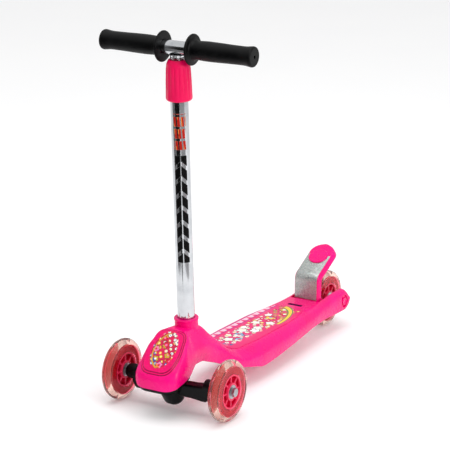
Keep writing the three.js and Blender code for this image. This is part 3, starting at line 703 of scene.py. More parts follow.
def above(sections, low):
    """The part of each section above a height, where the skin's slope gives the half-width."""
    y, top, flat, wide, waist, _, _ = sections.T
    reach = wide + (low - waist) / (top - waist) * (flat - wide)
    level = np.full(len(y), low)
    return np.column_stack([y, top, flat, reach, level + 1, reach - 1, level])


def make_ribs():
    """Two long ribs and five cross ribs, which end inside the walls."""
    ends = (137, FORK_START - 5)
    ribs = [
        box_piece("rib", (x - RIB_HALF, ends[0], RIB_LOW), (x + RIB_HALF, ends[1], DECK_TOP - WALL / 2))
        for x in (-22, 22)]
    for y in range(160, 381, 55):
        both_faces = stations_at(np.array([y - RIB_HALF, y + RIB_HALF]))
        sections = above(drawn_in(both_faces, WALL / 2, 0), RIB_LOW)
        ribs.append(surface("rib", section_grid(sections, 5.0, 3)))
    return ribs


def make_socket():
    """The stem's socket: a ring with a small lip, on a foot that spreads into the neck."""
    profile = [
        [0, 84], [22, 84], [22.5, 114], [20.6, 121], [19.3, 127], [18.8, 132], [18.8, 141.2], [19.7, 142.4],
        [19.7, 144.8], [18.7, SOCKET_TOP], [0, SOCKET_TOP]]
    return turned_piece("socket", profile, 0.6, on_stem)


print("ribs from z =", RIB_LOW, "to", DECK_TOP - WALL / 2, "and a socket up to", SOCKET_TOP)

# %% What is cut away
REAR_AXLE = np.array([0, 514, 50])
ARM_INNER = 28.5


def at_rear_axle(points):
    """Points drawn about +Z, laid along the rear axle."""
    return along_x(points) + REAR_AXLE


def drill(name, radius, low, high, place, segments=48):
    """A plain round bar with sharp ends, to cut with."""
    profile = [[0, low], [radius, low], [radius, high], [0, high]]
    return turned_piece(name, profile, 0.01, place, segments)


def make_cutters():
    """What is cut away: stem bore, wheel gap, rear axle hole with its two recesses, and the slot."""
    inner = ARM_INNER
    gap = rounded([[-inner, FORK_START], [inner, FORK_START], [inner, 590], [-inner, 590]], 5)
    slot = rounded([[-14, 396], [14, 396], [14, 405], [-14, 405]], 3)
    cutters = [drill("bore", 14.3, 86, 160, on_stem, 96)]
    cutters.append(raised_piece("wheel_gap", gap, 0, 100))
    cutters.append(raised_piece("slot", slot, 55, 80))
    for low, high, radius in ((-60, 60, 4.3), (36.5, 60, 11.5), (-60, -36.5, 11.5)):
        cutters.append(drill("axle_hole", radius, low, high, at_rear_axle))
    return cutters


print("the rear wheel's gap is", 2 * ARM_INNER, "mm wide")

# %% The moulding
def make_moulding():
    """The skin, less its hollow, with ribs and socket, less the cuts."""
    piece = surface("moulding", section_grid(stations_at(outer_y)))
    inner_y = np.concatenate([[-60.5, -57], np.arange(-50, 430, 8.0), [425]])
    hollow = surface("hollow", section_grid(drawn_in(stations_at(inner_y), WALL, 12), 6.0, 4))
    reshaped(piece, [hollow], "DIFFERENCE")
    reshaped(piece, [*make_ribs(), make_socket()], "UNION")
    return reshaped(piece, make_cutters(), "DIFFERENCE")


moulding = settle(make_moulding(), "pink", "deck_shell")
print("moulding:", len(moulding.data.polygons), "faces")

# %% [markdown]
# ## The hood's cover
#
# On the hood's slope lies a raised cover with two steps, like contour lines on a map. It is made
# on the slope's own plane: a shield-shaped outline shrinks towards its middle ring by ring, and
# each ring's height comes from how far in it is, in two smooth steps.

# %% Cover on the hood
FACE_FOOT = np.array([0, -53, 83])
FACE_TILT = math.atan(0.909)


def on_face(points):
    """Points drawn on a flat sheet, laid on the hood's slope."""
    return tilted(points, FACE_FOOT, FACE_TILT)


def smooth_step(x, low, high):
    """0 below low and 1 above high, with 3t^2 - 2t^3 between."""
    t = np.clip((x - low) / (high - low), 0, 1)
    return t * t * (3 - 2 * t)


def terraced(name, outline, middle, base, steps, place, rings=40, skirt=0.2):
    """A flat-bottomed raised shape. Ring s runs from the outline, s = 0, to the middle, s = 1.

    A ring's height is the sum of smooth steps, each (height, where it starts, where it ends).
    """
    s = np.concatenate([np.linspace(0, 0.35, rings), np.linspace(0.4, 0.98, 12)])
    height = base + sum(rise * smooth_step(s, low, high) for rise, low, high in steps)
    spread = (1 - s)[:, None, None]
    flat = middle + (outline - middle) * spread
    top = np.concatenate([flat, np.broadcast_to(height[:, None, None], (*flat.shape[:2], 1))], -1)
    foot = np.column_stack([outline, np.full(len(outline), base - skirt)])
    grid = np.concatenate([foot[None], top])
    poles = np.array([[*middle, base - skirt], [*middle, height[-1]]])
    return surface(name, place(grid), poles=place(poles))


FACE_MIDDLE = np.array([0, 33.0])
COVER_BASE = 0.2
STEP = 1.3
shield = rounded([[-25, -11], [25, -11], [33.5, 22], [26, 73], [-26, 73], [-33.5, 22]], 16, 14)
cover_steps = [(STEP, 0, 0.04), (STEP, 0.08, 0.12)]
cover = terraced("hood_cover", shield, FACE_MIDDLE, COVER_BASE, cover_steps, on_face, skirt=3.0)
print("cover:", len(cover.data.polygons), "faces")

# %% [markdown]
# Where the cover steps up, each riser lies in its own shade, so a line of painted shade
# follows each step. The finish finds it by the height above the hood's slope: halfway up each
# riser.

# %% Cover's finish
def along_face(where):
    """A finish's coordinates on the hood's slope."""
    return where.moved(origin=tuple(FACE_FOOT), turn=(FACE_TILT, 0, 0))


def step_shade_lines(finish):
    """Painted shade on the risers between the cover's levels."""
    height = along_face(finish.where).parts()[2]
    first, second = (
        (height - (COVER_BASE + STEP * level)).size().ramp(0.66, 0.5) for level in (0.5, 1.5))
    return first.most(second), tone(150, 0, 62)


# The cover's tones are darker than the shell's pink: painted shade on the hood's slope.
finishes["cover"] = moulded_plastic(
    "hood_cover_shaded_plastic", tone(238, 6, 110), tone(230, 4, 102), rounding=0.4, shade=step_shade_lines)
settle(cover, "cover", "face_cover")
print("cover painted")

# %% [markdown]
# ## Printed pictures
#
# The hood and the footboard carry bright printed pictures under a clear film. Here they are a
# made-up bunch of flowers. One Voronoi pattern scatters them: it gives each point the centre of
# its cell and a random colour that is the same all over the cell. The distance and angle from
# that centre draw petals, and the random number picks from a row of inks, shifted by the place on
# the label, so that the colours drift from one end to the other.

# %% Flowers for the prints
INKS = {
    "cream": tone(244, 234, 214), "white": tone(250, 248, 244), "yellow": tone(250, 206, 60),
    "gold": tone(206, 164, 52), "red": tone(214, 24, 56), "orange": tone(240, 130, 60),
    "blue": tone(64, 86, 168), "sky": tone(132, 170, 206), "green": tone(74, 128, 84),
    "rose": tone(246, 120, 176), "line": tone(74, 24, 60), "purple": tone(140, 40, 140),
}
HOOD_INKS = "blue gold orange rose gold red yellow white cream".split()
SMALL_HOOD_INKS = "sky blue yellow red cream white white".split()
BOARD_INKS = "sky blue white sky cream white cream white yellow red gold red orange".split()
SMALL_BOARD_INKS = "blue rose white cream cream yellow red gold green".split()


def flower_bed(where, cell, order, place, petals):
    """(colour, mask) of flowers about a cell apart. The place, 0 to 1, leads along the order of inks."""
    where = where.moved(turn=(0, 0, 0.5))
    _, colour, centre = where.cells(1 / cell, 0.4, {"voronoi_dimensions": "2D"})
    chance, second, _ = colour.parts()
    x, y, _ = where.node("ShaderNodeVectorMath", {"operation": "SUBTRACT"}, {0: where, 1: centre}).parts()
    radius = (x.squared() + y.squared()).sum("SQRT")
    angle = y.sum("ARCTAN2", x) + chance * 6
    wave = (angle * petals).sum("COSINE")
    reach = (0.33 + second * 0.07) * cell * (1 + wave * 0.16)
    petal = (reach - radius).ramp(-0.1, 0.25)
    inner = (reach * 0.86 - radius).ramp(-0.1, 0.2)
    heart = (reach * 0.34 - radius).ramp(-0.1, 0.2)
    lead = place * 0.72 + chance * 0.34 - 0.03
    stops = [(k / len(order), INKS[ink]) for k, ink in enumerate(order)]
    outlined = inner.choose(INKS["line"], lead.inked(stops))
    return heart.choose(outlined, (0.97 - lead).inked(stops)), petal


def hood_print():
    """White flowers above, gold and red in the middle, blue below, and a gold crescent down one side.

    The clear film over them is glossy, with a slight ripple.
    """
    finish = Finish("hood_print", Specular_IOR_Level=0.25, Coat_Weight=0.1, Coat_Roughness=0.06)
    where = finish.where
    local = along_face(where)
    x, up, _ = local.parts()
    place = up / 70 + x / 90
    colour = local.noise(0.08).ramp(0.3, 0.7).choose(tone(226, 22, 84), tone(196, 24, 74))
    for cell, petals, order in ((8.5, 6, SMALL_HOOD_INKS), (17, 5, HOOD_INKS)):
        flowers, mask = flower_bed(local, cell, order, place, petals)
        colour = mask.choose(colour, flowers)
    ring = ((x - 9).squared() / 700 + (up - 33).squared() / 1150 - 1).size()
    crescent = ring.ramp(0.09, 0.06) * x.ramp(2, -2)
    colour = crescent.choose(colour, INKS["gold"])
    edge = (x.squared() / 500 + (up - 34).squared() / 1290).ramp(0.86, 0.93)
    colour = edge.choose(colour, tone(232, 20, 92))
    finish.feed(Base_Color=colour, Roughness=0.3 + where.noise(0.1).ramp(0.4, 0.8) * 0.1)
    finish.relief(where.noise(0.25, 2.0) * 0.012 + where.noise(3.0) * 0.002)
    return finish.material


finishes["hood_print"] = hood_print()
print("hood print ready, with", len(HOOD_INKS), "inks")

# %% [markdown]
# The label itself is an oval, a little egg-shaped, half a millimetre thick, with its edge rounded
# down. The same ring-by-ring surface makes it, with one step at its rim.

# %% Oval label on the cover
def oval(half_width, low, high, widest, count=120):
    """Half an ellipse above the widest line, and half a flatter or longer one below it."""
    turn = np.arange(count) * 2 * math.pi / count
    reach = np.where(np.sin(turn) > 0, high - widest, widest - low)
    return np.column_stack([half_width * np.cos(turn), widest + reach * np.sin(turn)])


label = terraced(
    "hood_label", oval(22.5, -2, 70, FACE_MIDDLE[1]), FACE_MIDDLE, COVER_BASE + 2 * STEP + 0.1,
    [(0.4, 0, 0.03), (0.1, 0.03, 1)], on_face)
settle(label, "hood_print", "face_label")
print("hood label:", len(label.data.polygons), "faces")

# %% [markdown]
# The footboard's print drifts from blue at the front through cream to yellow and red at the rear,
# where a yellow sweep edged in green crosses it. Along its right edge run two purple lines with a
# row of pale blocks between them, like the rungs of a ladder. The film there isn't smooth: it has
# a fine grain, so that a shoe grips.

# %% Footboard print and label
def footboard_print():
    """Flowers within a winding border, a yellow and green sweep, a ladder, and grip grain over all."""
    finish = Finish("footboard_print", Specular_IOR_Level=0.2, Coat_Weight=0.05, Coat_Roughness=0.15)
    where = finish.where
    x, y, _ = where.parts()
    place = (y - 140) / 250
    drift = where.noise(0.02, 1.0) * 14
    across = (x - 2 - (place - 0.5) * 6).size() + drift
    front, rear = y + drift, y + x * 0.3
    colour = where.noise(0.018, 3.0).ramp(0.3, 0.7).choose(tone(230, 4, 106), tone(238, 6, 116))
    flowers, mask = flower_bed(where, 11, SMALL_BOARD_INKS, place, 6)
    border = across.ramp(30, 26) * front.ramp(150, 158) * rear.ramp(386, 374)
    colour = (mask * border).choose(colour, flowers)
    flowers, mask = flower_bed(where, 24, BOARD_INKS, place, 5)
    border = across.ramp(27, 23) * front.ramp(154, 162) * rear.ramp(378, 366)
    colour = (mask * border).choose(colour, flowers)
    sweep = (((x + 12) / 40).squared() + ((y - 296) / 82).squared() - 1).size()
    ends = x.ramp(-10, -4) * y.ramp(284, 292) * y.ramp(386, 380)
    colour = (sweep.ramp(0.19, 0.17) * ends).choose(colour, INKS["green"])
    colour = (sweep.ramp(0.12, 0.10) * ends).choose(colour, INKS["yellow"])
    ladder = x + 31.5 - (y - 250) * 0.012
    lines = (ladder.size() - 5.6).size().ramp(0.9, 0.5)
    rungs = ((y * 0.055).stripes() + ladder * 0.03).ramp(0.36, 0.33)
    rungs = rungs * ladder.size().ramp(4.5, 4.1)
    ends = (y - 268).size().ramp(112, 108)
    colour = (rungs * ends).choose(colour, tone(250, 196, 214))
    colour = (lines * ends).choose(colour, INKS["purple"])
    scuffs = where.noise(0.03, 4.0, stretch=(1, 3, 1)).ramp(0.5, 0.72)
    colour = (scuffs * 0.10).choose(colour, tone(235, 225, 225))
    finish.feed(Base_Color=colour, Roughness=0.38 + scuffs * 0.15)
    finish.relief(where.noise(1.6, 3.0) * 0.035)
    return finish.material


finishes["footboard_print"] = footboard_print()
board_outline = rounded([
    [-37, 172], [-31, 154], [-8, 142], [16, 136], [34, 138], [39, 200], [38.5, 300], [35, 350], [24, 388],
    [-24, 388], [-35, 350], [-40, 300], [-41, 200]], 12, 8)
board_middle = np.array([0, 260.0])
board_label = terraced(
    "footboard_label", board_outline, board_middle, DECK_TOP + 0.5, [(0.35, 0, 0.012)], lambda p: p, 8)
settle(board_label, "footboard_print", "deck_label")
print("footboard label:", len(board_label.data.polygons), "faces")

# %% [markdown]
# ## The truck
#
# Under the hood, the front wheels' axle is a black beam that swings about a slanted kingpin: when
# the rider leans, it turns. The beam's section is a rounded box whose top and bottom follow two
# lines along it, so it is a grid of such boxes. The kingpin's sleeve and the axle's ends are
# turned shapes, joined to it.

# %% Beam, sleeve and axle ends
KING_FOOT = np.array([0, 5, 20])
KING_TILT = math.radians(36.9)
FRONT_AXLE = np.array([0, 0, 50])


def at_front_axle(points):
    """Points drawn about +Z, laid along the front axle."""
    return along_x(points) + FRONT_AXLE


def on_king(points):
    """Points drawn along the kingpin, from its foot up."""
    return tilted(points, KING_FOOT, KING_TILT)


BEAM_HALF = 12.0


def squarish(count, power):
    """Points round a square with round corners: the cosine and the sine, each to a small power."""
    turn = np.arange(count) * 2 * math.pi / count
    return [np.sign(part) * abs(part) ** power for part in (np.cos(turn), np.sin(turn))]


def beam_grid():
    """Rounded boxes along X, between the beam's two edge lines, drawn in a little at both ends."""
    x = np.concatenate([[-72, -71.4, -70], np.linspace(-68, 68, 69), [70, 71.4, 72]])
    low = np.interp(abs(x), [0, 40, 58, 64, 68, 72], [29, 28.5, 26.5, 26.5, 31, 40])
    high = np.interp(abs(x), [0, 40, 56, 72], [49, 50.5, 52.5, 56])
    end = np.interp(abs(x), [70, 71.4, 72], [1, 0.93, 0.8])
    across, upwards = squarish(64, 2 / 7)
    middle, half = (low + high) / 2, (high - low) / 2
    y = BEAM_HALF * across * end[:, None]
    z = middle[:, None] + upwards * (half * end)[:, None]
    return np.stack([np.broadcast_to(x[:, None], y.shape), y, z], -1)


def axle_end(side):
    """A boss at one end of the beam, drawn out along the axle."""
    profile = [[0, 60], [12, 60], [12, 82], [9.5, 86], [0, 86]]
    return turned_piece("axle_end", [[r, side * h] for r, h in profile], 1.0, at_front_axle, 64)


def make_truck():
    """The beam with its sleeve and axle ends, less the bushings' wells and the kingpin's hole."""
    beam = surface("truck", beam_grid())
    profile = [[0, 2], [16, 2], [18.5, 5], [18.5, 29], [16, 31], [0, 31]]
    sleeve = turned_piece("sleeve", profile, 1.0, on_king)
    reshaped(beam, [sleeve, axle_end(1), axle_end(-1)], "UNION")
    wells = ((-1, 12, 12.8), (24, 40, 12.8), (10, 26, 6.2))
    return reshaped(beam, [drill("well", r, low, high, on_king) for low, high, r in wells], "DIFFERENCE")


truck = settle(make_truck(), "black", "truck_body")

cap_profile = [[0, -7.2], [8, -7], [14, -3.4], [15.8, 1.7], [13.2, 1.7], [12.6, -2], [8, -5.2], [0, -5.6]]
settle(turned_piece("kingpin_cover", cap_profile, 0.7, on_king), "black", "kingpin_cap")
softened("base_plate", "black", 0.6)
softened("brake_shoe", "black", 0.5)
print("truck:", len(truck.data.polygons), "faces")

# %% [markdown]
# ## Wheels
#
# A wheel is a crimson hub with a tyre of clear urethane cast round it. Clear urethane bends light
# as glass does, so the tyre is given transmission and a pale pink body. Cast urethane isn't water
# clear: it holds faint clouds, and its gloss dulls in patches.

# %% Clear urethane
def clear_urethane():
    """A transmitting body with a little milkiness in clouds, tinted crimson inside the sidewall's step, and
    duller in patches.
    """
    finish = Finish("clear_urethane", IOR=1.3, Transmission_Weight=0.94, Specular_IOR_Level=0.5)
    where = finish.where
    clouds = where.noise(0.05, 3.0).ramp(0.3, 0.75)
    inner = finish.attribute("from_axle").ramp(41.6, 40.2)
    body = clouds.choose(tone(255, 226, 210), tone(252, 208, 196))
    finish.feed(
        Base_Color=inner.choose(body, tone(246, 66, 104)),
        Roughness=0.03 + clouds * 0.05 + where.noise(0.5).ramp(0.5, 0.8) * 0.05)
    finish.relief(where.noise(0.3, 2.0) * 0.05)
    return finish.material


def glitter_gold():
    """The light's block: brass flakes, each turned its own way."""
    finish = Finish("light_gold", Metallic=0.7, Coat_Weight=0.5)
    chance = finish.where.cells(1.1)[1].parts()[0]
    finish.feed(
        Base_Color=chance.choose(tone(214, 160, 70), tone(250, 222, 150)), Roughness=0.2 + chance * 0.35)
    finish.relief(chance * 0.12)
    return finish.material


finishes["clear"] = clear_urethane()
finishes["gold"] = glitter_gold()
print("urethane and gold ready")

# %% [markdown]
# The hub could be assembled from a ring, a web and eight spokes. Moulded plastic has no such
# joins, so it is one surface: for each radius and angle, a half-thickness. The bearing seat, the
# web, the rim and the flange inside the tyre are steps along the radius, and the spokes are
# smooth ridges across the web. The flange stops short where the light sits.

# %% Hub
BOSS_R = 14.4
RIM_R = 25.1
SEAT_R = 28.0
SPOKES = 8
WHEEL_R = 50.0
FLANGE_HALF = 4.1
LIGHT_ARC = math.radians(34)


def hub_grid(light_turn, columns=288):
    """Half-thickness over radius and angle. Front rows run outwards, and back rows run inwards."""
    radius = np.array([
        11.3, 12, 14.2, 14.7, 15.6, 17, 19, 21, 23, 24.2, 24.9, 25.3, 26, 27.6, 27.95, 28, 28.05, 30, 33,
        36])[:, None]
    turn = np.arange(columns) * 2 * math.pi / columns
    spoke_angle = 2 * math.pi / SPOKES
    off_spoke = abs((turn + spoke_angle / 2) % spoke_angle - spoke_angle / 2) * radius
    ridge = smooth_step(-off_spoke, -2.1, -0.9)
    web = 1.5 + ridge * (6.0 - 0.06 * (radius - 14))
    boss = 9.5 - 0.4 * (radius < 11.5) + 0 * turn
    rim = 8.3 - 0.5 * (radius > 27.8) + 0 * turn
    half = np.select([radius <= BOSS_R, radius < RIM_R, radius < SEAT_R], [boss, web, rim], FLANGE_HALF)
    off_light = abs((turn - light_turn + math.pi) % (2 * math.pi) - math.pi)
    reach = 36 + 4.3 * smooth_step(off_light, LIGHT_ARC / 2 + 0.02, LIGHT_ARC / 2 + 0.06)
    radius = np.vstack([np.broadcast_to(radius, half.shape), reach, reach + 0.1])
    half = np.vstack([half, np.full(columns, FLANGE_HALF), np.full(columns, FLANGE_HALF - 0.4)])
    front = np.stack([half, radius * np.cos(turn), radius * np.sin(turn)], -1)
    back = front[::-1] * [-1, 1, 1]
    return np.concatenate([front, back])


print("hub grid:", hub_grid(0.0).shape[:2], "rows and columns")

# %% [markdown]
# The other parts of a wheel are simpler. The tyre and the bearings are turned profiles, and the
# light is a block with round corners bent round the axle. Each point of the tyre keeps its
# distance from the axle, and each point of the hub keeps its height above the middle plane, so
# that the finishes can tell sidewall and spokes apart.

# %% Tyre, light and bearings
def tyre_profile():
    """A round tread, a shallow step at the sidewall, and a groove inside that grips the hub's flange."""
    turn = np.linspace(math.pi / 2, -math.pi / 2, 41)
    tread = np.column_stack([41.5 + 8.5 * np.cos(turn), 10 * np.sin(turn)])
    front = [[28.3, 4.5], [28.3, 8.5], [29.3, 9.3], [40.3, 9.3], [40.9, 9.8]]
    back = [[40.9, -9.8], [40.3, -9.3], [29.3, -9.3], [28.3, -8.5], [28.3, -4.5], [40.9, -4.5], [40.9, 4.5]]
    return np.vstack([front, tread, back])


def light_grid(light_turn):
    """A rounded block bent round the axle, between the hub's flange and the tyre."""
    around = np.linspace(-LIGHT_ARC / 2, LIGHT_ARC / 2, 25)[:, None]
    outwards, across = squarish(24, 0.4)
    radius = 38.5 + 1.9 * outwards + 0 * around
    turn = around + light_turn
    return np.stack([4.0 * across + 0 * around, radius * np.cos(turn), radius * np.sin(turn)], -1)


def bearing_profile(low):
    """Outer race, a recessed shield with a bead, and inner race, seven millimetres wide."""
    high = low + 7
    return [
        [4.1, low], [6.2, low], [6.5, low + 0.6], [8.7, low + 0.6], [9.1, low], [11, low],
        [11, high], [9.1, high], [8.7, high - 0.6], [6.5, high - 0.6], [6.2, high], [4.1, high]]


def remember(piece, name, values):
    """Keeps one number for each point of a piece, for its finish to read."""
    kept = piece.data.attributes.new(name, "FLOAT", "POINT")
    kept.data.foreach_set("value", np.resize(values, len(piece.data.vertices)).astype(np.float32))


def make_wheel(name, x, y, light_turn):
    """One wheel about its own axle."""
    centre = np.array([x, y, WHEEL_R])

    def here(points):
        """Points drawn about +Z, laid along this wheel's axle."""
        return along_x(points) + centre

    tyre_grid = turned(tyre_profile(), 160)
    tyre = surface(name + "_urethane", here(tyre_grid), looped=True)
    remember(tyre, "from_axle", np.hypot(tyre_grid[..., 0], tyre_grid[..., 1]).ravel())
    settle(tyre, "clear", name + "_tyre")
    moulded = hub_grid(light_turn)
    hub = surface(name + "_moulded_hub", moulded + centre, looped=True)
    remember(hub, "raised", abs(moulded[..., 0]).ravel())
    settle(hub, "hub", name + "_hub")
    light = surface(name + "_gold_light", light_grid(light_turn) + centre)
    settle(light, "gold", name + "_light")
    for side, low in (("a", 2.5), ("b", -9.5)):
        bearing = turned_piece(f"{name}_race_{side}", bearing_profile(low), 0.2, here, 72, 3)
        settle(bearing, "zinc", f"{name}_bearing_{side}")
    return tyre


def light_angle(name):
    """The angle of a wheel's light about its axle, from where the working model has it."""
    tyre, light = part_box(name + "_tyre"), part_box(name + "_light")
    towards = (light[0] + light[1]) / 2 - (tyre[0] + tyre[1]) / 2
    return math.atan2(towards.z, towards.y)


TRACK_HALF = 98.5
wheels = (("wheel_left", TRACK_HALF, 0), ("wheel_right", -TRACK_HALF, 0), ("wheel_rear", 0, REAR_AXLE[1]))
for name, x, y in wheels:
    tyre = make_wheel(name, x, y, light_angle(name))
    print(name, len(tyre.data.polygons), "faces in its tyre")

# %% [markdown]
# ## Bolts
#
# A hexagon head is a turned shape whose radius changes with the angle: a hexagon's edge is at its
# flat's distance over the cosine of the angle from the middle of the nearest flat. A cone takes
# the corners off the end.

# %% Axle bolts and nuts
def hex_reach(turn, across_flats):
    """Distance from a hexagon's centre to its edge at each angle."""
    off = (turn + math.pi / 6) % (math.pi / 3) - math.pi / 6
    return across_flats / 2 / np.cos(off)


def hex_head(across_flats, low, high, shank, shank_end, segments=72):
    """Shank, hexagon, chamfered end and a shallow dish in it, as one grid from end to end."""
    turn = np.arange(segments) * 2 * math.pi / segments
    hexagon = hex_reach(turn, across_flats)
    flat = across_flats / 2
    way = math.copysign(1, high - low)
    chamfer = high - way * (hexagon - flat) * 0.58
    rows = [
        (shank, shank_end), (shank, low), (np.minimum(hexagon, flat * 1.13), low),
        (hexagon, low + way * 0.3), (hexagon, chamfer), (flat * 0.97, high), (flat * 0.7, high),
        (flat * 0.6, high - way * 0.5), (flat * 0.2, high - way * 0.6)]
    return np.stack([np.stack([r * np.cos(turn), r * np.sin(turn), h + 0 * turn], -1) for r, h in rows])


SPANNER = 13
SHANK_R = 3.8
for name, side in (("left", 1), ("right", -1)):
    head = side * 108.9
    grid = at_front_axle(hex_head(SPANNER, head, head + side * 5.2, SHANK_R, side * 65))
    settle(surface(f"axle_bolt_{name}_fine", grid), "zinc", f"axle_bolt_{name}")
rear_bolt = at_rear_axle(hex_head(SPANNER, 36.8, 40.1, SHANK_R, -42.2))
settle(surface("rear_axle_bolt_fine", rear_bolt), "pink", "rear_axle_bolt")
softened("rear_axle_nut", "zinc", 0.4)
print("bolts ready")

# %% [markdown]
# ## Foot brake
#
# The brake is a pink channel: it stands in front of the rear wheel, bends, and slopes back over
# it. It is one section carried along a path: upright, an arc, then the slope. The section is a U
# whose sides flare, rounded at its corners, and it narrows as a circle does where the path ends.

# %% Brake pedal
PEDAL_Y = 439.5
BEND_Z = 110
PEDAL_SLOPE = math.radians(28)
PEDAL_HALF = 23
PEDAL_REACH = 85
PEDAL_END = 22
PEDAL_T = 3.2
BEND_R = 16


def pedal_path(first, last, spacing=1.5):
    """Rows of y, z, direction and reach on the slope, from a first height up to a last reach."""
    turn = math.pi / 2 - PEDAL_SLOPE
    tangent = BEND_R * math.tan(turn / 2)
    upright = np.arange(first, BEND_Z - tangent, spacing)
    bend = np.linspace(0, turn, 16)
    round_end = PEDAL_REACH - PEDAL_END
    slope = np.concatenate([np.arange(tangent + 1, round_end, 3.0), np.linspace(round_end, PEDAL_REACH, 40)])
    slope = slope[slope <= last]
    y = PEDAL_Y + np.concatenate([0 * upright, BEND_R * (1 - np.cos(bend)), slope * math.cos(PEDAL_SLOPE)])
    z = np.concatenate([
        upright, BEND_Z - tangent + BEND_R * np.sin(bend), BEND_Z + slope * math.sin(PEDAL_SLOPE)])
    way = np.concatenate([0 * upright + math.pi / 2, math.pi / 2 - bend, 0 * slope + PEDAL_SLOPE])
    reach = np.concatenate([np.zeros(len(upright) + len(bend)), slope])
    return y, z, way, reach


def pedal_half(reach):
    """Full half-width, then a circle's towards the end."""
    share = np.clip((reach - PEDAL_REACH + PEDAL_END) / PEDAL_END, 0, 0.985)
    return PEDAL_HALF * np.sqrt(1 - share ** 2)


def along_pedal(path, outlines):
    """Sets each outline of (across, inwards) points at its place on the path, square to it."""
    y, z, way, _ = (part[:, None] for part in path)
    across, inwards = outlines[..., 0], outlines[..., 1]
    return np.stack([across, y + inwards * np.sin(way), z - inwards * np.cos(way)], -1)


def pedal_grid():
    """The channel's outline, from the middle of its front round one side to the middle of its back."""
    path = pedal_path(50, PEDAL_REACH)
    half = pedal_half(path[3])
    depth = np.interp(path[1], [66, 72], [16, 10])
    flare = 3 * np.clip(half / PEDAL_HALF * 2, 0.3, 1)
    inner = np.maximum(half - PEDAL_T, 0.6)
    zero = 0 * half
    x = np.stack([zero, half, half + flare, inner + flare, inner, zero], 1)
    n = np.stack([zero, zero, depth, depth, zero + PEDAL_T, zero + PEDAL_T], 1)
    return along_pedal(path, round_half(np.stack([x, n], -1), (3.4, 1.2, 1.2, 2.0), 6, 0.45))


pedal = settle(surface("brake_channel", pedal_grid()), "pink", "brake_pedal")
print("brake pedal:", len(pedal.data.polygons), "faces")

# %% [markdown]
# Its front is covered with glitter foil: a silver film pressed with thousands of tiny facets that
# split light into faint colours. A Voronoi cell stands for each facet, with its own brightness,
# tint and tilt.

# %% Glitter foil and the badge
def glitter_foil():
    """Facets of two sizes in silver, each with its own brightness and a slight tint."""
    finish = Finish("brake_foil", Metallic=0.75, Coat_Weight=0.5, Coat_Roughness=0.1)
    where = finish.where
    chance, second, third = where.cells(1.5)[1].parts()
    patch = where.cells(0.3)[1].parts()[0]
    silver = (chance * 0.7 + patch * 0.3).choose(tone(92, 98, 98), tone(196, 202, 198))
    green, rose = tone(190, 214, 200), tone(226, 206, 214)
    blue, yellow = tone(196, 206, 226), tone(222, 222, 196)
    tint = second.inked([(0.0, green), (0.3, rose), (0.55, blue), (0.8, yellow)])
    finish.feed(Base_Color=(third * 0.6).choose(silver, tint), Roughness=0.22 + chance * 0.3)
    finish.relief(chance * 0.10 + patch * 0.05)
    return finish.material


def foil_grid():
    """A thin strip on the channel's front, a little narrower than it."""
    path = pedal_path(DECK_TOP + 1, 56)
    half = np.minimum(PEDAL_HALF - 1.6, pedal_half(path[3]) - 1.5)
    level = np.array([[-1, -0.35], [-1, -0.65], [-0.985, -0.8], [0.985, -0.8], [1, -0.65], [1, -0.35]])
    outline = np.stack([half[:, None] * level[:, 0], np.broadcast_to(level[:, 1], (len(half), 6))], -1)
    return along_pedal(path, outline)


finishes["foil"] = glitter_foil()
settle(surface("brake_foil", foil_grid()), "foil", "brake_label")
BADGE_REACH = 51
badge_place = np.array([
    0, PEDAL_Y + BADGE_REACH * math.cos(PEDAL_SLOPE), BEND_Z + BADGE_REACH * math.sin(PEDAL_SLOPE)])
badge_profile = [
    [0, 0.9], [17.5, 0.9], [17.5, 2.4], [16.2, 3.5], [14.2, 3.5], [13.6, 3.1], [2.4, 3.3], [1.6, 2.6],
    [0, 2.6]]
badge = turned_piece("brake_disc_badge", badge_profile, 0.4, lambda p: tilted(p, badge_place, PEDAL_SLOPE))
settle(badge, "pink", "brake_badge")
print("foil and badge ready")

# %% [markdown]
# ## Stem and handlebar
#
# The lower tube is chromed and printed. Where such tubes carry a name, this one has a plain
# pattern: a block of red and yellow bars, and below it a row of black chevrons. The finish finds
# its place on the tube from the height along it and the angle round it.

# %% Printed chrome
TUBE_R = 14.0
PRINT_TURN = math.radians(-62)


def printed_chrome():
    """Chrome under opaque inks: the inks aren't metal, so metallic drops to zero where they are."""
    finish = Finish("printed_chrome", Specular_IOR_Level=0.1)
    local = along_stem(finish.where)
    x, y, height = local.parts()
    across = (y.sum("ARCTAN2", x) - PRINT_TURN) * TUBE_R
    within = across.size().ramp(10.4, 10.0)
    bars = (height - 455).size().ramp(29, 28.6) * within
    row = (height * 0.052).stripes().ramp(0.42, 0.39)
    slant = across * 0.16 + height * 0.01
    red = row * slant.stripes().ramp(0.37, 0.34) * bars
    patches = finish.where.noise(0.08).ramp(0.45, 0.6)
    yellow = row * (slant + 0.22).stripes().ramp(0.10, 0.06) * patches * bars
    chevrons = ((height + across.size() * 0.9) * 0.042).stripes().ramp(0.36, 0.34)
    band = (height - 329).size().ramp(88, 87.6) * within
    black = chevrons * across.size().ramp(0.5, 0.8) * band
    ink = red.most(black)
    smears, polish = wear(finish.where)
    colour = smears.choose(tone(206, 208, 211), tone(184, 187, 191))
    colour = red.choose(colour, tone(168, 28, 16))
    colour = yellow.choose(colour, tone(222, 140, 60))
    colour = black.choose(colour, tone(8, 8, 8))
    finish.feed(
        Base_Color=colour, Metallic=1 - ink, Roughness=0.07 + smears * 0.07 + polish * 0.05 + ink * 0.25)
    finish.relief(ink * 0.04 + polish * 0.001)
    return finish.material


finishes["printed_chrome"] = printed_chrome()
print("printed chrome ready")

# %% [markdown]
# The tubes are turned shapes on the stem's axis. The crossbar is welded on with a small cone. The
# knob that locks the height is turned too, with sixteen shallow flutes for the fingers: its
# radius drops a little wherever the cosine of sixteen times the angle does, and the flutes fade
# out towards both ends.

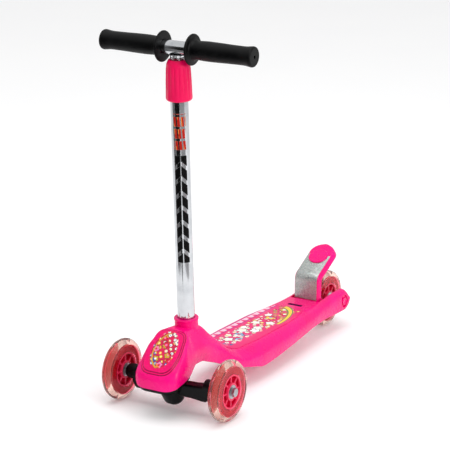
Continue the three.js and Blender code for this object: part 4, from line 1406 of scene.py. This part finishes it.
# %% Tubes, weld and knob
BAR_R = 11.0
BAR_BORE = 9.5
BAR_CENTRE = 584.4
KNOB_LOW = 502.7
KNOB_TOP = 567.0
FLUTES = 16


def tube_profile(inner, outer, low, high):
    """A plain wall between two radii and two heights."""
    return [[inner, low], [outer, low], [outer, high], [inner, high]]


lower = turned_piece("lower_tube", tube_profile(12.5, TUBE_R, 86.3, 505), 0.4, on_stem, 128, 3)
settle(lower, "printed_chrome", "lower_stem_tube")
bar_under = BAR_CENTRE - BAR_R
upper = turned_piece("upper_tube", tube_profile(BAR_BORE, BAR_R, 330, bar_under - 0.3), 0.3, on_stem, 96, 3)
settle(upper, "chrome", "upper_stem_tube")
weld_low, weld_high = bar_under - 4.5, bar_under + 2.2
weld_profile = [
    [BAR_R + 0.2, weld_low], [11.9, weld_low], [12.3, weld_low + 1.6], [11.7, weld_low + 2.6],
    [13.0, weld_high - 1], [12.6, weld_high], [11.4, weld_high - 2.0]]
settle(turned_piece("weld_cone", weld_profile, 0.5, on_stem, 96, 3), "chrome", "stem_weld")


def on_bar(points):
    """Points drawn along the crossbar, which lies along X at the top of the stem."""
    return on_stem(along_x(points) + [0, 0, BAR_CENTRE])


bar = turned_piece("bar_tube", tube_profile(BAR_BORE, BAR_R, -132, 132), 0.3, on_bar, 96, 3)
settle(bar, "chrome", "crossbar")


def knob_grid(segments=192):
    """A turned outer skin with flutes, closed round the lower rim with its bore."""
    outside = rounded([
        [14.6, KNOB_LOW], [19.0, KNOB_LOW], [20.8, KNOB_LOW + 2.6], [20.3, KNOB_LOW + 30],
        [19.4, KNOB_LOW + 50], [18.3, KNOB_LOW + 57.5], [15.6, KNOB_TOP - 1.2], [15.0, KNOB_TOP],
        [11.5, KNOB_TOP], [11.5, KNOB_TOP - 12], [16.1, KNOB_TOP - 30], [16.1, 506], [14.6, 505.5]], 1.6, 6)
    grid = turned(outside, segments)
    above_rim = grid[..., 2] - KNOB_LOW
    radius = np.hypot(grid[..., 0], grid[..., 1])
    turn = np.arange(segments) * 2 * math.pi / segments
    fade = smooth_step(above_rim, 3, 9) * smooth_step(-above_rim, -58, -50) * (radius > 17.5)
    dip = 1.15 * (1 - abs(np.cos(FLUTES / 2 * turn)) ** 0.8) * fade
    grid[..., :2] *= ((radius - dip) / radius)[..., None]
    return grid


knob = settle(surface("twist_knob", on_stem(knob_grid()), looped=True), "knob", "lock_knob")
collet_profile = [
    [11.3, 479], [12.2, 479], [12.2, 505.3], [15.6, 505.3], [15.6, 523], [13.2, 537], [11.3, 537]]
settle(turned_piece("split_collet", collet_profile, 0.5, on_stem), "black", "lock_collet")
print("knob:", len(knob.data.polygons), "faces")

# %% [markdown]
# A grip is moulded rubber: a disc that keeps the hand off the tube, a body that swells in the
# palm, and a flared end with a small hole in it. The radius along the body follows one smooth
# curve, and the disc joins it with a fillet.

# %% Grips
BAR_HALF = 135.0


def make_grip(name, side):
    """The grip's profile, from the bore round the disc and along the body to the hole in its end."""
    profile = [
        [11.3, 24.5], [23.4, 24.5], [24.6, 26], [24.2, 28.2], [17.5, 28.9], [15.3, 31.5], [14.6, 37],
        [15.5, 52], [15.2, 74], [14.6, 96], [14.4, 120], [15.6, 128.3], [16.0, 131], [15.6, 133.8],
        [14, BAR_HALF], [2.6, BAR_HALF], [2.4, 132.3], [11.3, 132.3]]
    reaches = np.array([0.5, 1.0, 1.2, 1.0, 2.6, 3, 5, 9, 9, 9, 6, 1.5, 1.0, 1.0, 0.8, 0.4, 0.3, 0.3])
    outline = [[radius, side * along] for radius, along in profile]
    return settle(turned_piece(name + "_rubber", outline, reaches, on_bar, 96, 7), "rubber", name)


for name, side in (("grip_left", 1), ("grip_right", -1)):
    grip = make_grip(name, side)
    print(name, len(grip.data.polygons), "faces")

# %% [markdown]
# ## Parts that keep their plain shape
#
# Screws, washers, bushings, spacers and pins are small or hidden. Their working shape is right,
# so they only get a finish. The bushings are amber urethane, which is cloudy and soft to look at.

# %% Finishes for the small parts
def amber_urethane():
    """Amber that is darker in its depth, with faint clouds."""
    finish = Finish("bushing_urethane", Subsurface_Weight=0.3, Subsurface_Scale=0.003)
    clouds = finish.where.noise(0.2, 3.0)
    colour = clouds.choose(tone(214, 160, 30), tone(236, 190, 70))
    finish.feed(Base_Color=colour, Roughness=0.35 + clouds * 0.2)
    finish.relief(finish.where.noise(1.2) * 0.01)
    return finish.material


finishes["amber"] = amber_urethane()
for name, part in frame["nodes"].items():
    if not part.hide_render:
        finish = "amber" if name.startswith("bushing") else "zinc"
        painted(part, finish)
        print("plain part:", name, "in", finish)

# %% [markdown]
# ## Floor and light
#
# The scooter stands on a plain pale floor in a bright room, as for a catalogue. A soft light from
# its left side shapes it, and a larger one overhead and the room's own light fill the rest. The
# floor glows very slightly, which keeps it nearly white.

# %% Floor and room
def pale_floor():
    """A matt floor with a barely visible mottle."""
    finish = Finish("pale_floor", Emission_Color=(1, 1, 1, 1), Emission_Strength=0.1)
    mottle = finish.where.noise(0.004, 3.0)
    colour = mottle.choose(tone(250, 250, 250), tone(246, 246, 247))
    finish.feed(Base_Color=colour, Roughness=0.6 + mottle * 0.1)
    return finish.material


def flat_stage(name, corners, material):
    """One flat face with four corners. It isn't part of the scooter."""
    mesh = bpy.data.meshes.new(name)
    mesh.from_pydata(corners, [], [(0, 1, 2, 3)])
    mesh.materials.append(material)
    made = put_in_scene(name, mesh)
    return made


def make_room():
    """A bright room that is a little darker towards the horizon and below it."""
    world = bpy.data.worlds.new("room")
    bpy.context.scene.world = world
    world.use_nodes = True
    tree = world.node_tree
    coordinates = tree.nodes.new("ShaderNodeTexCoord")
    height = Wire(coordinates.outputs["Generated"]).parts()[2]
    colour = height.ramp(-0.1, 0.45).choose(tone(178, 180, 184), tone(255, 255, 255))
    tree.links.new(colour.socket, tree.nodes["Background"].inputs["Color"])
    tree.nodes["Background"].inputs["Strength"].default_value = 0.8


SPAN = 30.0
flat_stage("floor", [(-SPAN, -SPAN, 0), (SPAN, -SPAN, 0), (SPAN, SPAN, 0), (-SPAN, SPAN, 0)], pale_floor())
make_room()
print("floor and room ready")

# %% [markdown]
# Chrome needs something darker to mirror, or it looks like paper. In a studio, cards stand beside
# the object, just outside the view. Here the cards can be nearer than that, because only mirrors
# see them: they cast no shadow and the camera looks through them.

# %% Cards and lights
def card(name, bearing, distance, foot_width, head_width, shade):
    """A card that only mirrors see. Its bearing counts degrees from the front to the left."""
    finish = Finish(name, Specular_IOR_Level=0.0, Roughness=1.0)
    mottle = finish.where.noise(0.004, 2.0)
    finish.feed(Base_Color=mottle.choose(tone(shade, shade, shade), tone(shade + 8, shade + 8, shade + 8)))
    turn = math.radians(bearing)
    middle = np.array([math.sin(turn) * distance, FRONT_AXLE_Y - math.cos(turn) * distance])
    beside = np.array([math.cos(turn), math.sin(turn)])
    foot, head = beside * foot_width / 2, beside * head_width / 2
    corners = [
        (*(middle - foot), 0), (*(middle + foot), 0), (*(middle + head), CARD_HEIGHT),
        (*(middle - head), CARD_HEIGHT)]
    made = flat_stage(name, corners, finish.material)
    made.visible_camera = made.visible_diffuse = made.visible_shadow = made.visible_transmission = False


def soft_light(name, place, aim, size, watts):
    """A square panel that faces its aim."""
    light = put_in_scene(name, bpy.data.lights.new(name, "AREA"))
    light.data.size, light.data.energy = size, watts
    light.location = place
    way = np.asarray(aim, float) - place
    light.rotation_euler = (math.atan2(math.hypot(way[0], way[1]), -way[2]), 0, math.atan2(-way[0], way[1]))


CARD_HEIGHT = 0.8
card("grey_card", -32, 0.44, 0.62, 0.62, 116)
card("pale_card", 66, 0.44, 0.50, 0.50, 176)
card("black_card", 2, 0.36, 0.05, 0.80, 22)
soft_light("key", (2.8, -0.9, 1.5), (0, 0, 0.2), 1.2, 40)
soft_light("top", (0.2, -0.4, 3.6), (0, 0, 0), 2.6, 45)
print("three cards and two lights")

# %% [markdown]
# ## Size
#
# The finished surfaces must fill the same box as the working model. Both boxes are written down
